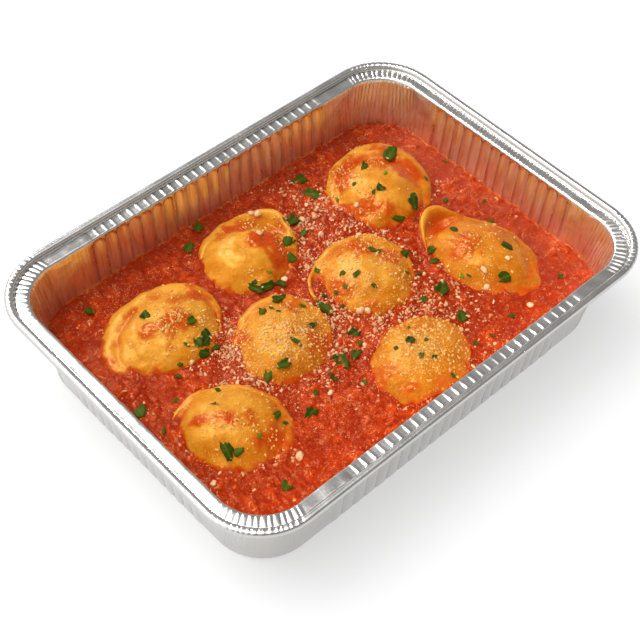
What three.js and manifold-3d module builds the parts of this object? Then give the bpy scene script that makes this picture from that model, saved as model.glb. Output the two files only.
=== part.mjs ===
// An oblong foil tray of round ravioli in tomato sauce, with chopped parsley and grated cheese on top.
// Millimetres, +Z up. The origin is the middle of the tray's underside, and X runs the long way.
import * as THREE from 'three';
import { mergeVertices } from 'three/addons/utils/BufferGeometryUtils.js';
import Module from 'manifold-3d';

const wasm = await Module();
wasm.setup();

// ---- Foil tray ----
const RIM_LENGTH = 216;
const RIM_WIDTH = 159.3;
const RIM_CORNER = 25.9;
const TRAY_HEIGHT = 43.4;
const RIM_BREADTH = 8.2; // from the outer edge in to the mouth
const CURL_RADIUS = 1.6; // rolled edge
const CURL_BEARINGS = [-135, -65, 0, 50, 90, 155]; // corners of its section, in degrees
const GROOVE = 0.3; // between the flat of the rim and the rolled edge
const MOUTH_DROP = 2.3; // how far the mouth's lip lies below the top of the curl
const MOUTH_CORNER = 19.8;
const LIP_ROUND = 0.9;
const FOOT_TAPER = 4; // how far the foot stands inside the mouth
const FOOT_CORNER = 22;
const FOOT_ROUND = 2.5;
const FOIL = 0.6;

// Upright flutes in the walls, wrinkles in the corners
const LONG_FLUTES = 21;
const LONG_PITCH = 5.8;
const SHORT_FLUTES = 14;
const SHORT_PITCH = 5.3;
const FLUTE_DEPTH = 0.9;
const FLUTE_END = 2.8; // plain band between the flutes and the lip
const FOOT_FLUTE = 0.5; // share of the depth that is left at the foot
const LIP_FLUTE = 0.35; // and at the lip, which it scallops
const WRINKLE_DEPTH = 0.5;
const CORNER_STEPS = 12;
const PLAIN_SPANS = 4; // straight runs of foot and rim need few columns

// ---- Tomato sauce ----
const LEVEL = 18.2;
const SAUCE_GAP = 0.35;
const SAUCE_CELL = 7;
const SAUCE_CORNER = 20.5;
const CHUNK_HEIGHT = 0.5;
const MOUND = 0.5; // rise of the sauce towards the middle
const MOUND_REACH = [60, 42];
const TOPPING_MARGIN = 7; // bare sauce kept along the wall

// ---- Ravioli ----
const SHEET = 2; // two layers of pasta at the rim
const RIM_LEVEL = 16.5; // middle of that sheet, below the top of the sauce
const UNDER_DEPTH = 8; // filling below the rim
const POCKET_GAP = 0.35;
const LEAN_BEARING = 45; // they all lean up towards the same far corner
const COLUMNS = 22;
const RIM_ROWS = [0.65]; // between the edge and the crease round the dome
const DOME_ROWS = [1, 0.82, 0.48];
const UNDER_ROWS = [0.62];
const PILLOW = 2.4; // how square-shouldered a dome is
const STEEP = 0.75; // how its side falls where the rim is narrow
const GENTLE = 1.8; // and where the rim is wide
const ROLL = 6.2; // the pinched rim is a thick roll: its height
const ROLL_WIDTH = 6; // and the width at which it is near that
const ROLL_CURVE = 2.4;
const ROLL_FALL = 0.55;
const EDGE_ROUND = 0.6; // share of the sheet's half thickness at which its edge starts to round
const FRILL_CURVE = 2.2; // how late the rim starts to turn up on its way out
const FRILL_FLAT = 0.85; // share of the roll that goes where the rim turns up
const NARROWEST_RIM = 1.5;

// at: middle of the dome. dome, rim: half sizes along the bearing `turn` and across it.
// rimAt: middle of the pinched rim. rise: top of the dome over the sauce. lean: slope.
// frills: where the rim lies flat by the dome and turns up at its edge, as bearing, spread, lift and reach.
// leaves: parsley on the dome, as x and y from its middle, length, width and bearing.
const RAVIOLI = [
  { at: [-58.3, 27.5], turn: 5, dome: [22.4, 17.6], rimAt: [-59.5, 31.6], rim: [27.5, 20.5],
    rise: 9, lean: 0.11, frills: [],
    leaves: [[9, -7, 8, 5.5, 20], [12, 0, 6, 4, 80], [-4.5, 7, 4, 3, 60]] },
  { at: [-68.4, -22.4], turn: -62, dome: [20.2, 18.6], rimAt: [-66.9, -22], rim: [23, 20],
    rise: 9.5, lean: 0.1, frills: [[128, 14, 1, 1.8]],
    leaves: [[-7.5, -8, 8, 4, 70], [0.5, -6, 4.5, 3.5, 10], [-4.5, 9, 3.5, 2.5, 20]] },
  { at: [-29.4, -5.8], turn: 45, dome: [20.4, 17.4], rimAt: [-26.8, -3], rim: [22.2, 19.6],
    rise: 10, lean: 0.12, frills: [],
    leaves: [[-7, -10, 6, 4, -15], [-12, -8.5, 6, 3, 40], [1, -5, 6, 2, 100]] },
  { at: [-11, 37.3], turn: 30, dome: [19.5, 17.3], rimAt: [-7.8, 39.2], rim: [22.8, 20.5],
    rise: 9.5, lean: 0.12, frills: [[20, 22, 4.2, 1.6]],
    leaves: [[-6.5, 6, 4, 2, -5], [-3, -4, 6, 2.5, 65]] },
  { at: [19.3, -3.2], turn: 45, dome: [19.6, 19], rimAt: [20.2, -0.8], rim: [22.6, 21.6],
    rise: 9, lean: 0.1, frills: [[152, 22, 4, 2.6]],
    leaves: [[-7, 3, 5, 2.5, 100], [-3.5, 0, 4, 2.5, 10], [-2.5, -7, 3.5, 3, 20]] },
  { at: [57.2, 28.4], turn: 45, dome: [19.2, 18.4], rimAt: [60.2, 32], rim: [25.4, 23],
    rise: 9, lean: 0.12, frills: [],
    leaves: [[-4, -0.5, 5, 3, 35], [7, -10, 8, 5, 60], [7, 3, 5, 4, 20], [-6, -11, 5, 3.5, -40]] },
  { at: [64.5, -24], turn: -85, dome: [22.6, 18.2], rimAt: [65.2, -25.6], rim: [26.2, 19.6],
    rise: 9, lean: 0.07, frills: [[84, 26, 5, 8]],
    leaves: [
      [-1.5, -16, 6, 5, -20], [10.5, -5, 5, 4, -60], [-4.5, 14, 4.5, 3.5, 80], [-12.5, -1, 5, 3.5, -30],
    ] },
  { at: [5.8, -45.6], turn: 5, dome: [21.5, 18], rimAt: [6.4, -44.8], rim: [23.8, 18.8],
    rise: 9, lean: 0.08, frills: [],
    leaves: [[-2.5, 5, 5, 4, 15], [6.5, -4.5, 3.5, 2.5, 40], [8.5, 2.5, 3.5, 2.5, 60]] },
];

// ---- Parsley and cheese on the sauce ----
const LEAF_THICKNESS = 0.7;
const LEAF_SINK = 0.25;
const LEAF_POINTS = 8;
const LEAF_WAVE = 0.35;
const LEAF_RAGGED = [0.78, 1.08]; // least and most reach of its outline, as shares of its half size
// x, y, length, width and bearing of the larger leaves
const SAUCE_LEAVES = [
  [36, 57.5, 10, 5, 0], [35, 47.5, 10, 5, -60], [19, 41, 7, 5, 20], [10, 35, 6, 4.5, 40],
  [18.5, 35.5, 5, 3, 0], [-14, 64.5, 5, 4, 50], [-23.5, 58, 6, 4, 20], [-74, 57.5, 5, 3.5, -60],
  [-9.5, 18.5, 9, 4, -35], [-17.5, 23, 8, 3.5, -70], [-2.5, -21.5, 6, 4, -10], [-15.5, -25.5, 8, 5, 80],
  [-42.5, -36, 6, 5, 10], [-23.5, -29, 5, 3.5, 60], [-70, -55, 5, 4.5, 30], [-90, 6, 7, 5, 70],
  [38.5, -27, 7, 6, 40], [35, -41, 6, 4, 60], [30, -24.5, 5, 3, 70], [-67.5, 9, 5, 3, 15],
  [33.5, 8.5, 5, 3, -50],
];
const CRUMB_RISE = 0.4; // share of its radius that the middle of a crumb of cheese stands above the surface
const CRUMB_BREADTHS = [0.7, 1]; // least and most, as shares of its length
const CRUMB_HEIGHTS = [0.6, 0.9];
const SAUCE_CRUMBS = 20;
const SAUCE_CRUMB_SIZES = [1.3, 2.1];
const CRUMB_MIDDLE = [4, 0];
const CRUMB_SPREAD = [44, 30];
const DOME_CRUMBS = 2;
const DOME_CRUMB_SIZES = [0.9, 1.4];
const DOME_CRUMB_REACH = 0.6; // share of a dome's half sizes

const RIGHT_ANGLE = Math.PI / 2;
const radians = THREE.MathUtils.degToRad;
const lerp = THREE.MathUtils.lerp;

// A repeatable stream of numbers between 0 and 1.
function seeded(seed) {
  let state = seed;
  return () => {
    state = (state * 1664525 + 1013904223) % 4294967296;
    return state / 4294967296;
  };
}

// A closed geometry as a manifold-3d solid: points merged, and faces with no area left out.
function solidOf(geometry) {
  geometry.deleteAttribute('normal');
  geometry.deleteAttribute('uv');
  const merged = mergeVertices(geometry);
  const corners = merged.getIndex().array;
  const faces = [];
  for (let i = 0; i < corners.length; i += 3) {
    const [a, b, c] = corners.slice(i, i + 3);
    if (a !== b && b !== c && c !== a) {
      faces.push(a, b, c);
    }
  }
  const vertProperties = new Float32Array(merged.getAttribute('position').array);
  return new wasm.Manifold(new wasm.Mesh({ numProp: 3, vertProperties, triVerts: new Uint32Array(faces) }));
}

// A solid as a named mesh.
function meshOf(name, solid, material) {
  const { vertProperties, triVerts } = solid.getMesh();
  const geometry = new THREE.BufferGeometry();
  geometry.setAttribute('position', new THREE.BufferAttribute(vertProperties, 3));
  geometry.setIndex(new THREE.BufferAttribute(triVerts, 1));
  geometry.computeVertexNormals();
  const mesh = new THREE.Mesh(geometry, material);
  mesh.name = name;
  return mesh;
}

// The one main body of a solid: scraps and sealed hollows are dropped.
function mainBody(solid) {
  return solid.decompose().reduce((best, body) => (body.volume() > best.volume() ? body : best));
}

// A closed skin whose first and last rows are poles: place(row, column) gives each point.
// Rows run from the lower pole out, up and in to the upper pole.
function skin(rows, columns, place) {
  const profile = Array.from({ length: rows }, (_, row) => new THREE.Vector2(1, row));
  const geometry = new THREE.LatheGeometry(profile, columns);
  const position = geometry.getAttribute('position');
  for (let column = 0; column <= columns; column += 1) {
    for (let row = 0; row < rows; row += 1) {
      const { x, y, z } = place(row, column % columns);
      position.setXYZ(column * rows + row, x, y, z);
    }
  }
  return solidOf(geometry);
}

// ---- Tray ----

// Columns round the tray, side by side from +X: flutes along a side, then the corner after it.
// anchor is the column that stands in for this one on the plain rows of foot and rim.
function trayColumns() {
  const columns = [];
  for (let side = 0; side < 4; side += 1) {
    const flutes = side % 2 === 0 ? SHORT_FLUTES : LONG_FLUTES;
    const pitch = side % 2 === 0 ? SHORT_PITCH : LONG_PITCH;
    const first = columns.length;
    const span = Math.ceil((2 * flutes) / PLAIN_SPANS);
    for (let i = 0; i <= 2 * flutes; i += 1) {
      const anchor = first + Math.min(Math.round(i / span) * span, 2 * flutes);
      const push = i % 2 === 0 ? -FLUTE_DEPTH / 2 : FLUTE_DEPTH / 2;
      columns.push({ side, anchor, push, along: (i - flutes) * pitch / 2 });
    }
    for (let i = 0; i <= CORNER_STEPS; i += 1) {
      const inner = i > 0 && i < CORNER_STEPS;
      const push = inner ? WRINKLE_DEPTH * (i % 2 - 0.5) : 0;
      columns.push({ side, anchor: columns.length, push, turn: i / CORNER_STEPS });
    }
  }
  return columns;
}

// A point of a column on a rounded rectangle with half sizes a and b and corner radius r.
function trayPoint(column, a, b, r, push) {
  const [far, wide] = column.side % 2 === 0 ? [a, b] : [b, a];
  const point = new THREE.Vector2();
  if (column.turn === undefined) {
    point.set(far + push, column.along);
  } else {
    const angle = column.turn * RIGHT_ANGLE;
    point.set(far - r + (r + push) * Math.cos(angle), wide - r + (r + push) * Math.sin(angle));
  }
  return point.rotateAround(new THREE.Vector2(), column.side * RIGHT_ANGLE);
}

// Rows of the tray's skin, from the middle of the underside out, up, round the rim and back in.
function trayRows() {
  const mouthLevel = TRAY_HEIGHT - MOUTH_DROP;
  const mouth = [RIM_LENGTH / 2 - RIM_BREADTH, RIM_WIDTH / 2 - RIM_BREADTH];
  // out: distance outside the mouth, on the rim. flute: share of the flutes' depth.
  const rim = (out, z, flute = 0) => ({
    a: mouth[0] + out,
    b: mouth[1] + out,
    r: lerp(MOUTH_CORNER, RIM_CORNER, out / RIM_BREADTH),
    z,
    flute,
    plain: flute === 0,
  });
  // The wall leans out from the foot to the mouth. Its outer face lies FOIL outside its inner one.
  const wall = (z, outside, inset, flute) => {
    const share = z / mouthLevel;
    const out = (share - 1) * FOOT_TAPER + (outside ? FOIL : 0) - inset;
    return {
      a: mouth[0] + out,
      b: mouth[1] + out,
      r: lerp(FOOT_CORNER, MOUTH_CORNER, share) - inset,
      z,
      flute,
      plain: flute === 0,
    };
  };
  const curlOut = RIM_BREADTH - CURL_RADIUS;
  const curl = CURL_BEARINGS.map((bearing) => rim(
    curlOut + CURL_RADIUS * Math.cos(radians(bearing)),
    TRAY_HEIGHT - CURL_RADIUS + CURL_RADIUS * Math.sin(radians(bearing)),
  ));
  return [
    { pole: true, z: 0 },
    wall(0, true, FOOT_ROUND, 0),
    wall(FOOT_ROUND, true, 0, FOOT_FLUTE),
    wall(mouthLevel - FLUTE_END, true, 0, 1),
    rim(FOIL + LIP_ROUND, mouthLevel - FOIL),
    ...curl,
    rim(curlOut - CURL_RADIUS - GROOVE, mouthLevel),
    rim(LIP_ROUND, mouthLevel, LIP_FLUTE),
    wall(mouthLevel - FLUTE_END + FOIL, false, 0, 1),
    wall(FOOT_ROUND + FOIL, false, 0, FOOT_FLUTE),
    wall(FOIL, false, FOOT_ROUND, 0),
    { pole: true, z: FOIL },
  ];
}

// The whole tray as one skin of foil.
function foilTray() {
  const rows = trayRows();
  const columns = trayColumns();
  return skin(rows.length, columns.length, (row, index) => {
    const { pole, a, b, r, z, flute, plain } = rows[row];
    if (pole) {
      return { x: 0, y: 0, z };
    }
    const column = plain ? columns[columns[index].anchor] : columns[index];
    const { x, y } = trayPoint(column, a, b, r, column.push * flute);
    return { x, y, z };
  });
}

// ---- Ravioli ----

// How far an ellipse reaches from the origin along a bearing: half sizes a and b, middle at (x, y).
function ellipseReach(angle, a, b, x, y) {
  const c = Math.cos(angle);
  const s = Math.sin(angle);
  const square = (c / a) ** 2 + (s / b) ** 2;
  const slope = (c * x) / a ** 2 + (s * y) / b ** 2;
  const rest = (x / a) ** 2 + (y / b) ** 2 - 1;
  return (slope + Math.sqrt(slope ** 2 - square * rest)) / square;
}

// Uneven, hand-made outline: a share near 1.
function unevenness(angle, seed) {
  return 1 + 0.02 * Math.sin(2 * angle + seed) + 0.015 * Math.sin(3 * angle + 2.1 * seed)
    + 0.01 * Math.sin(5 * angle + 3.7 * seed);
}

// Dome radius, rim radius, lift of the rim's edge and share of its roll at a bearing.
function raviolo(spec, index, angle) {
  const turn = radians(spec.turn);
  const local = angle - turn;
  const offset = new THREE.Vector2(spec.rimAt[0] - spec.at[0], spec.rimAt[1] - spec.at[1]);
  offset.rotateAround(new THREE.Vector2(), -turn);
  const dome = ellipseReach(local, ...spec.dome, 0, 0) * unevenness(angle, index);
  let rim = ellipseReach(local, ...spec.rim, offset.x, offset.y);
  let lift = 0;
  let roll = 1;
  for (const [bearing, spread, height, reach] of spec.frills) {
    const away = THREE.MathUtils.euclideanModulo(THREE.MathUtils.radToDeg(angle) - bearing + 180, 360) - 180;
    const share = Math.exp(-((away / spread) ** 2));
    lift += height * share;
    rim += reach * share;
    roll -= FRILL_FLAT * share;
  }
  return { dome, rim: Math.max(rim, dome + NARROWEST_RIM), lift, roll };
}

// One raviolo, or with grow over 0 the pocket that it lies in.
function ravioloSolid(spec, index, grow) {
  const lean = radians(LEAN_BEARING);
  const domeHeight = LEVEL + spec.rise - RIM_LEVEL - SHEET / 2;
  const rows = [
    { share: 0, under: 1 },
    ...UNDER_ROWS.map((share) => ({ share, under: 1 - share ** PILLOW })),
    { share: 1, under: 0 },
    { rim: 1, side: -EDGE_ROUND },
    { rim: 1, side: EDGE_ROUND },
    ...RIM_ROWS.map((out) => ({ rim: out, side: 1 })),
    ...DOME_ROWS.map((share) => ({ share })),
    { share: 0 },
  ];
  return skin(rows.length, COLUMNS, (row, column) => {
    const angle = (column / COLUMNS) * 2 * Math.PI;
    const { dome, rim, lift, roll } = raviolo(spec, index, angle);
    const { share, under, rim: out, side } = rows[row];
    const wide = (1 - Math.exp(-(rim - dome) / ROLL_WIDTH)) * roll;
    let radius = share * (dome + grow);
    let z = RIM_LEVEL;
    if (out !== undefined) {
      radius = lerp(dome, rim, out) + grow;
      z += lift * out ** FRILL_CURVE + ROLL * wide * (1 - out ** ROLL_CURVE) ** ROLL_FALL;
      z += side * SHEET / 2 + Math.sign(side) * grow;
    } else if (under !== undefined) {
      z -= SHEET / 2 + under * UNDER_DEPTH + grow;
    } else {
      const over = (1 - share ** PILLOW) ** lerp(STEEP, GENTLE, wide);
      z += SHEET / 2 + lerp(ROLL * wide, domeHeight, over) + grow;
    }
    z += spec.lean * radius * Math.cos(angle - lean);
    return { x: spec.at[0] + radius * Math.cos(angle), y: spec.at[1] + radius * Math.sin(angle), z };
  });
}

// ---- Sauce ----

// Top of the sauce: slow swells, quicker lumps across them, and a low mound in the middle.
function sauceHeight(x, y) {
  const slow = Math.sin(x * 0.17 + 1.1) * Math.cos(y * 0.21 - 0.4);
  const quick = Math.sin(x * 0.43 + y * 0.29) * Math.sin(y * 0.51 - x * 0.19 + 2);
  const middle = Math.exp(-((x / MOUND_REACH[0]) ** 2) - (y / MOUND_REACH[1]) ** 2);
  return LEVEL + CHUNK_HEIGHT * (0.5 * slow + 0.5 * quick) + MOUND * middle;
}

// A point of a rectangle pulled in to a rounded rectangle with half sizes a and b and corner radius r.
function roundedCorner(x, y, a, b, r) {
  const p = (Math.abs(x) - a + r) / r;
  const q = (Math.abs(y) - b + r) / r;
  if (p <= 0 || q <= 0) {
    return [x, y];
  }
  return [
    Math.sign(x) * (a - r + r * p * Math.sqrt(1 - q * q / 2)),
    Math.sign(y) * (b - r + r * q * Math.sqrt(1 - p * p / 2)),
  ];
}

// The sauce as poured, before the ravioli are cut out of it.
function sauceBed() {
  const mouthLevel = TRAY_HEIGHT - MOUTH_DROP;
  const clear = FLUTE_DEPTH / 2 + SAUCE_GAP;
  // The wall leans out, so the sauce stands clear of it by a little more at its top edge.
  const inset = (z) => FOOT_TAPER * (1 - z / mouthLevel) + clear;
  const bottom = FOIL + SAUCE_GAP;
  const bottomInset = inset(bottom) + FOOT_ROUND;
  const a = RIM_LENGTH / 2 - RIM_BREADTH - inset(LEVEL - CHUNK_HEIGHT);
  const b = RIM_WIDTH / 2 - RIM_BREADTH - inset(LEVEL - CHUNK_HEIGHT);
  const shrink = bottomInset - inset(LEVEL - CHUNK_HEIGHT);
  const [across, along] = [a, b].map((half) => Math.round(2 * half / SAUCE_CELL));
  const box = new THREE.BoxGeometry(2 * a, 2 * b, 1, across, along);
  const position = box.getAttribute('position');
  for (let i = 0; i < position.count; i += 1) {
    const onEdge = Math.abs(position.getX(i)) > a - 1 || Math.abs(position.getY(i)) > b - 1;
    const [x, y] = roundedCorner(position.getX(i), position.getY(i), a, b, SAUCE_CORNER);
    if (position.getZ(i) > 0) {
      position.setXYZ(i, x, y, sauceHeight(x, y));
    } else if (onEdge) {
      position.setXYZ(i, x * (1 - shrink / a), y * (1 - shrink / b), bottom);
    } else {
      // The flat bottom needs no inner points but its middle.
      position.setXYZ(i, 0, 0, bottom);
    }
  }
  return solidOf(box);
}

// ---- Parsley and cheese ----

// A chopped leaf: a ragged, thin, wavy plate round the origin.
function leafGeometry(length, width, random) {
  const outline = [];
  for (let i = 0; i < LEAF_POINTS; i += 1) {
    const angle = ((i + 0.5 * (random() - 0.5)) / LEAF_POINTS) * 2 * Math.PI;
    const ragged = lerp(...LEAF_RAGGED, random());
    const x = length / 2 * ragged * Math.cos(angle);
    const y = width / 2 * ragged * Math.sin(angle);
    outline.push(new THREE.Vector2(x, y));
  }
  const shape = new THREE.Shape(outline);
  const plate = new THREE.ExtrudeGeometry(shape, { depth: LEAF_THICKNESS, bevelEnabled: false });
  const position = plate.getAttribute('position');
  const phase = 6 * random();
  for (let i = 0; i < position.count; i += 1) {
    const wave = LEAF_WAVE * Math.sin(3 * position.getX(i) / length + 4 * position.getY(i) / length + phase);
    position.setZ(i, position.getZ(i) + wave - LEAF_SINK - LEAF_WAVE / 2);
  }
  return plate;
}

// A crumb of cheese: a squashed, half sunk lump.
function crumbGeometry(size, random) {
  const crumb = new THREE.IcosahedronGeometry(size / 2, 0);
  crumb.scale(1, lerp(...CRUMB_BREADTHS, random()), lerp(...CRUMB_HEIGHTS, random()));
  crumb.rotateZ(2 * Math.PI * random());
  crumb.translate(0, 0, size / 2 * CRUMB_RISE);
  return crumb;
}

// Where a plumb line through (x, y) meets a mesh from above, with the face's normal there.
function dropOn(mesh, x, y) {
  const ray = new THREE.Raycaster(new THREE.Vector3(x, y, 2 * TRAY_HEIGHT), new THREE.Vector3(0, 0, -1));
  const [hit] = ray.intersectObject(mesh);
  return hit;
}

// A topping turned by a bearing, laid on a mesh at (x, y) and tipped with its surface.
function layOn(mesh, geometry, x, y, bearing) {
  const hit = dropOn(mesh, x, y);
  if (!hit) {
    return null;
  }
  const up = new THREE.Vector3(0, 0, 1);
  const tip = new THREE.Quaternion().setFromUnitVectors(up, hit.face.normal);
  const spin = new THREE.Quaternion().setFromAxisAngle(up, radians(bearing));
  geometry.applyQuaternion(tip.multiply(spin));
  geometry.translate(hit.point.x, hit.point.y, hit.point.z);
  return solidOf(geometry);
}

// A draw near 0 from a bell curve.
function bell(random) {
  return random() + random() + random() - 1.5;
}

// A raviolo with its parsley and crumbs. What would touch the sauce is left off.
function dressedRaviolo(spec, index, sauce) {
  const random = seeded(index + 11);
  let solid = ravioloSolid(spec, index, 0);
  const bare = meshOf('bare', solid);
  const toppings = spec.leaves.map(([dx, dy, length, width, bearing]) => layOn(
    bare, leafGeometry(length, width, random), spec.at[0] + dx, spec.at[1] + dy, bearing,
  ));
  for (let i = 0; i < DOME_CRUMBS; i += 1) {
    const angle = 2 * Math.PI * random();
    const reach = DOME_CRUMB_REACH * Math.sqrt(random()) * spec.dome[1];
    const crumb = crumbGeometry(lerp(...DOME_CRUMB_SIZES, random()), random);
    toppings.push(layOn(
      bare, crumb, spec.at[0] + reach * Math.cos(angle), spec.at[1] + reach * Math.sin(angle), 0,
    ));
  }
  for (const topping of toppings) {
    if (topping && topping.intersect(sauce).isEmpty()) {
      solid = solid.add(topping);
    }
  }
  return mainBody(solid);
}

// The sauce with its parsley and crumbs, cut clear of the ravioli.
function dressedSauce(bed, pockets) {
  const random = seeded(5);
  const surface = meshOf('surface', bed);
  const wallInset = RIM_BREADTH + FOOT_TAPER + TOPPING_MARGIN;
  const toppings = SAUCE_LEAVES.map(([x, y, length, width, bearing]) => layOn(
    surface, leafGeometry(length, width, random), x, y, bearing,
  ));
  for (let i = 0; i < SAUCE_CRUMBS; i += 1) {
    const x = CRUMB_MIDDLE[0] + CRUMB_SPREAD[0] * bell(random);
    const y = CRUMB_MIDDLE[1] + CRUMB_SPREAD[1] * bell(random);
    const crumb = crumbGeometry(lerp(...SAUCE_CRUMB_SIZES, random()), random);
    if (Math.abs(x) < RIM_LENGTH / 2 - wallInset && Math.abs(y) < RIM_WIDTH / 2 - wallInset) {
      toppings.push(layOn(surface, crumb, x, y, 0));
    }
  }
  const strewn = toppings.reduce((sum, topping) => sum.add(topping), bed);
  return mainBody(pockets.reduce((rest, pocket) => rest.subtract(pocket), strewn));
}

// ---- The dish ----
const foil = new THREE.MeshStandardMaterial({ color: 0xc8cacb, roughness: 0.32, metalness: 0.95 });
const sauceRed = new THREE.MeshStandardMaterial({ color: 0xb8300c, roughness: 0.35, metalness: 0 });
const pasta = new THREE.MeshStandardMaterial({ color: 0xe09a3c, roughness: 0.45, metalness: 0 });

const dish = new THREE.Group();
const bed = sauceBed();
const pockets = RAVIOLI.map((spec, index) => ravioloSolid(spec, index, POCKET_GAP));
const sauce = dressedSauce(bed, pockets);
dish.add(meshOf('tray', foilTray(), foil));
dish.add(meshOf('sauce', sauce, sauceRed));
RAVIOLI.forEach((spec, index) => {
  dish.add(meshOf(`ravioli_${index + 1}`, dressedRaviolo(spec, index, sauce), pasta.clone()));
});

export default dish;
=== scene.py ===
import math

import bmesh
import bpy
import numpy as np
from mathutils import Matrix, Vector


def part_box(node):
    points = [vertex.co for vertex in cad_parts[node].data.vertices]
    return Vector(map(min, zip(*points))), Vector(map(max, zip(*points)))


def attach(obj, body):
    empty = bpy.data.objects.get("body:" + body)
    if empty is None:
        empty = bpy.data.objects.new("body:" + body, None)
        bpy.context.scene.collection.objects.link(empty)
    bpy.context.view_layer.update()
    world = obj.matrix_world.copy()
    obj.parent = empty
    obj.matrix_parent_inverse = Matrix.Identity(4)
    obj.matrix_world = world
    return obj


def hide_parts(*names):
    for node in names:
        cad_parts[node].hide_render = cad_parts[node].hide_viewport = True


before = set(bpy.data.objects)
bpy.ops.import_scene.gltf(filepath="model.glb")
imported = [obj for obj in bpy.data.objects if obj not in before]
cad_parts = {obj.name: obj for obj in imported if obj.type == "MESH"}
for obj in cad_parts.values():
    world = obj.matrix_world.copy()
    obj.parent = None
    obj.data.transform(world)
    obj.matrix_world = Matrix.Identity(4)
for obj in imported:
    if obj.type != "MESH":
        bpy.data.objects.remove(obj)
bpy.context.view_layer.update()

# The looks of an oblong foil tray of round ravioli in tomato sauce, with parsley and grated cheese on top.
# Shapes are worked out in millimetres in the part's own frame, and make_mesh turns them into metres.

MM = 0.001
TAU = 2 * math.pi


def box_mm(node):
    """A CAD node's box in millimetres."""
    return [np.array(corner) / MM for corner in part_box(node)]


# ---- Foil tray ----
TRAY_LOW, TRAY_HIGH = box_mm("tray")
RIM_LENGTH, RIM_WIDTH, TRAY_HEIGHT = TRAY_HIGH - TRAY_LOW
RIM_CORNER = 25.9
RIM_BREADTH = 8.2  # from the outer edge in to the mouth
CURL_RADIUS = 1.6  # rolled edge
CURL_SQUARE = 2.5  # how square its section is: 2 is round
CURL_BEARINGS = (-165, -135, -110, -90, -65, -45, -25, 0, 25, 45, 60, 75, 90, 105, 120, 140, 160, 178)
GROOVE = 0.3
MOUTH_DROP = 2.3  # how far the mouth's lip lies below the top of the curl
MOUTH_CORNER = 19.8
LIP_ROUND = 0.9
FOOT_TAPER = 4  # how far the foot stands inside the mouth
FOOT_CORNER = 22
FOOT_ROUND = 2.5
FOIL = 0.4
MOUTH_LEVEL = TRAY_HEIGHT - MOUTH_DROP
MOUTH_HALF = (RIM_LENGTH / 2 - RIM_BREADTH, RIM_WIDTH / 2 - RIM_BREADTH)

LONG_FLUTES, LONG_PITCH = 21, 5.8
SHORT_FLUTES, SHORT_PITCH = 14, 5.3
FLUTE_DEPTH = 1.1
FLUTE_CURVE = 2.4  # the higher, the flatter a flute and the sharper the cusps beside it
FLUTE_UNEVEN = 0.25
LIP_FLUTE = 0.15  # share of the depth that shows at the lip
ARCH = 2.6  # how much lower a flute starts at its sides than in its middle
FLUTE_RUN = 2  # how far below its start it is full
FOOT_FLUTE = 0.5  # share of the depth that is left at the foot
WALL_SWAYS = ((0.12, 14, 1, 5), (0.08, 2.3, 0.2, 6))  # depth, size, how fast it changes upwards, seed
FLUTE_STEPS = 12  # columns of points across a flute
PATCH_STEPS = 7  # and across the plain patch beside a corner
CORNER_STEPS = 112

# Ribs across the flat of the rim, at +X, +Y, -X and -Y.
KNURL_HEIGHT, KNURL_UNEVEN = 0.3, 0.3
KNURL_SHARES = (0.85, 1.1, 0.2, 1)  # share of that height
KNURL_PITCHES = (1.767, 4.2, 4.2, 4.2)
KNURL_RISES = (0.5, 0.21, 0.21, 0.21)  # part of the pitch in which a rib rises
KNURL_FALLS = (0.25, 0.21, 0.21, 0.21)  # and in which it falls
RIM_FALLS = (0, 0, 0.5, 0)  # how far the flat falls away to the outside
CORNER_KNURLS, CORNER_HEIGHT = 15, 0.34
CRIMPS, CRIMP = 9, 0.14  # nicks in the curl at the corners
RIPPLES, RIPPLE = 16, 0.08  # and waves along it

PLEAT_DEPTH = 0.7  # narrow pleats in the corners of the wall
CORNER_PLEATS = 17
FAN_PLEATS, FAN_REACH = 13, 15  # and fanning out beside them
INNER_ROWS = 30  # rings of points among which the lip's is looked for, counted from the last one
CUSP_SHADE_FILM = 0.35  # film share left on the cusps: oil, and painted shade along them

# ---- Tomato sauce ----
LEVEL = 18.2
SAUCE_ACROSS, SAUCE_ALONG = 366, 258  # cells of its top
SAUCE_CORNER = 20.5
SAUCE_SINK = 0.45  # its relief stands up from this far under its level
SLOW_SWELL, QUICK_SWELL = 0.3, 0.2
MOUND, MOUND_REACH = 0.5, (60, 42)
LUMP_SIZE, SMALL_SIZE, THREAD_SIZE = 3.3, 1.4, 2.8
LUMP_HEIGHTS = (1.7, 0.5, 0.3)  # of the lumps, the small lumps and the threads
LUMP_PULP = (0.5, 0.4, 0.5)  # how pulpy they look
MENISCUS, MENISCUS_REACH = 0.75, 0.5
CALM_REACH = 3  # the relief is lower this near the wall
CLIMB, CLIMB_REACH = 0.9, 1.6  # how the sauce stands up against the pasta
INTO_WALL = 0.12  # it reaches this far into the foil, so no gap shows

# ---- Ravioli ----
SHEET = 2
RIM_LEVEL = 16.5
UNDER_DEPTH = 8
LEAN_BEARING = 45
LIT_BEARING, LIT_PALER = 85, 0.016  # painted light: the way to the lit side of the pasta, and how much paler it is for each mm that way
PILLOW = 2.4
STEEP, GENTLE = 0.75, 1.8  # how the dome comes down where the rim is narrow, and where it is wide
FRILL_START, FRILL_TOP = 0.35, 0.8  # shares of the way out at which the rim starts to turn up and is up
FRILL_FLAT = 0.85  # share of the roll that goes where the rim turns up
NARROWEST_RIM = 1.5
ROLL, ROLL_WIDTH = 6.2, 6  # the pinched rim is a thick roll: its height, and the width that makes it so
ROLL_CURVE, ROLL_FALL = 2.4, 0.55
CREASE_WIDTH = 2.1  # between the roll and the dome
RAVIOLO_COLUMNS = 176
DOME_STEPS = 38
RIM_SHARES = (1, 0.995, 0.98, 0.95, 0.9, 0.83, 0.74, 0.63, 0.52, 0.4, 0.28, 0.18, 0.09, 0)
UNDER_STEPS = 7
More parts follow.
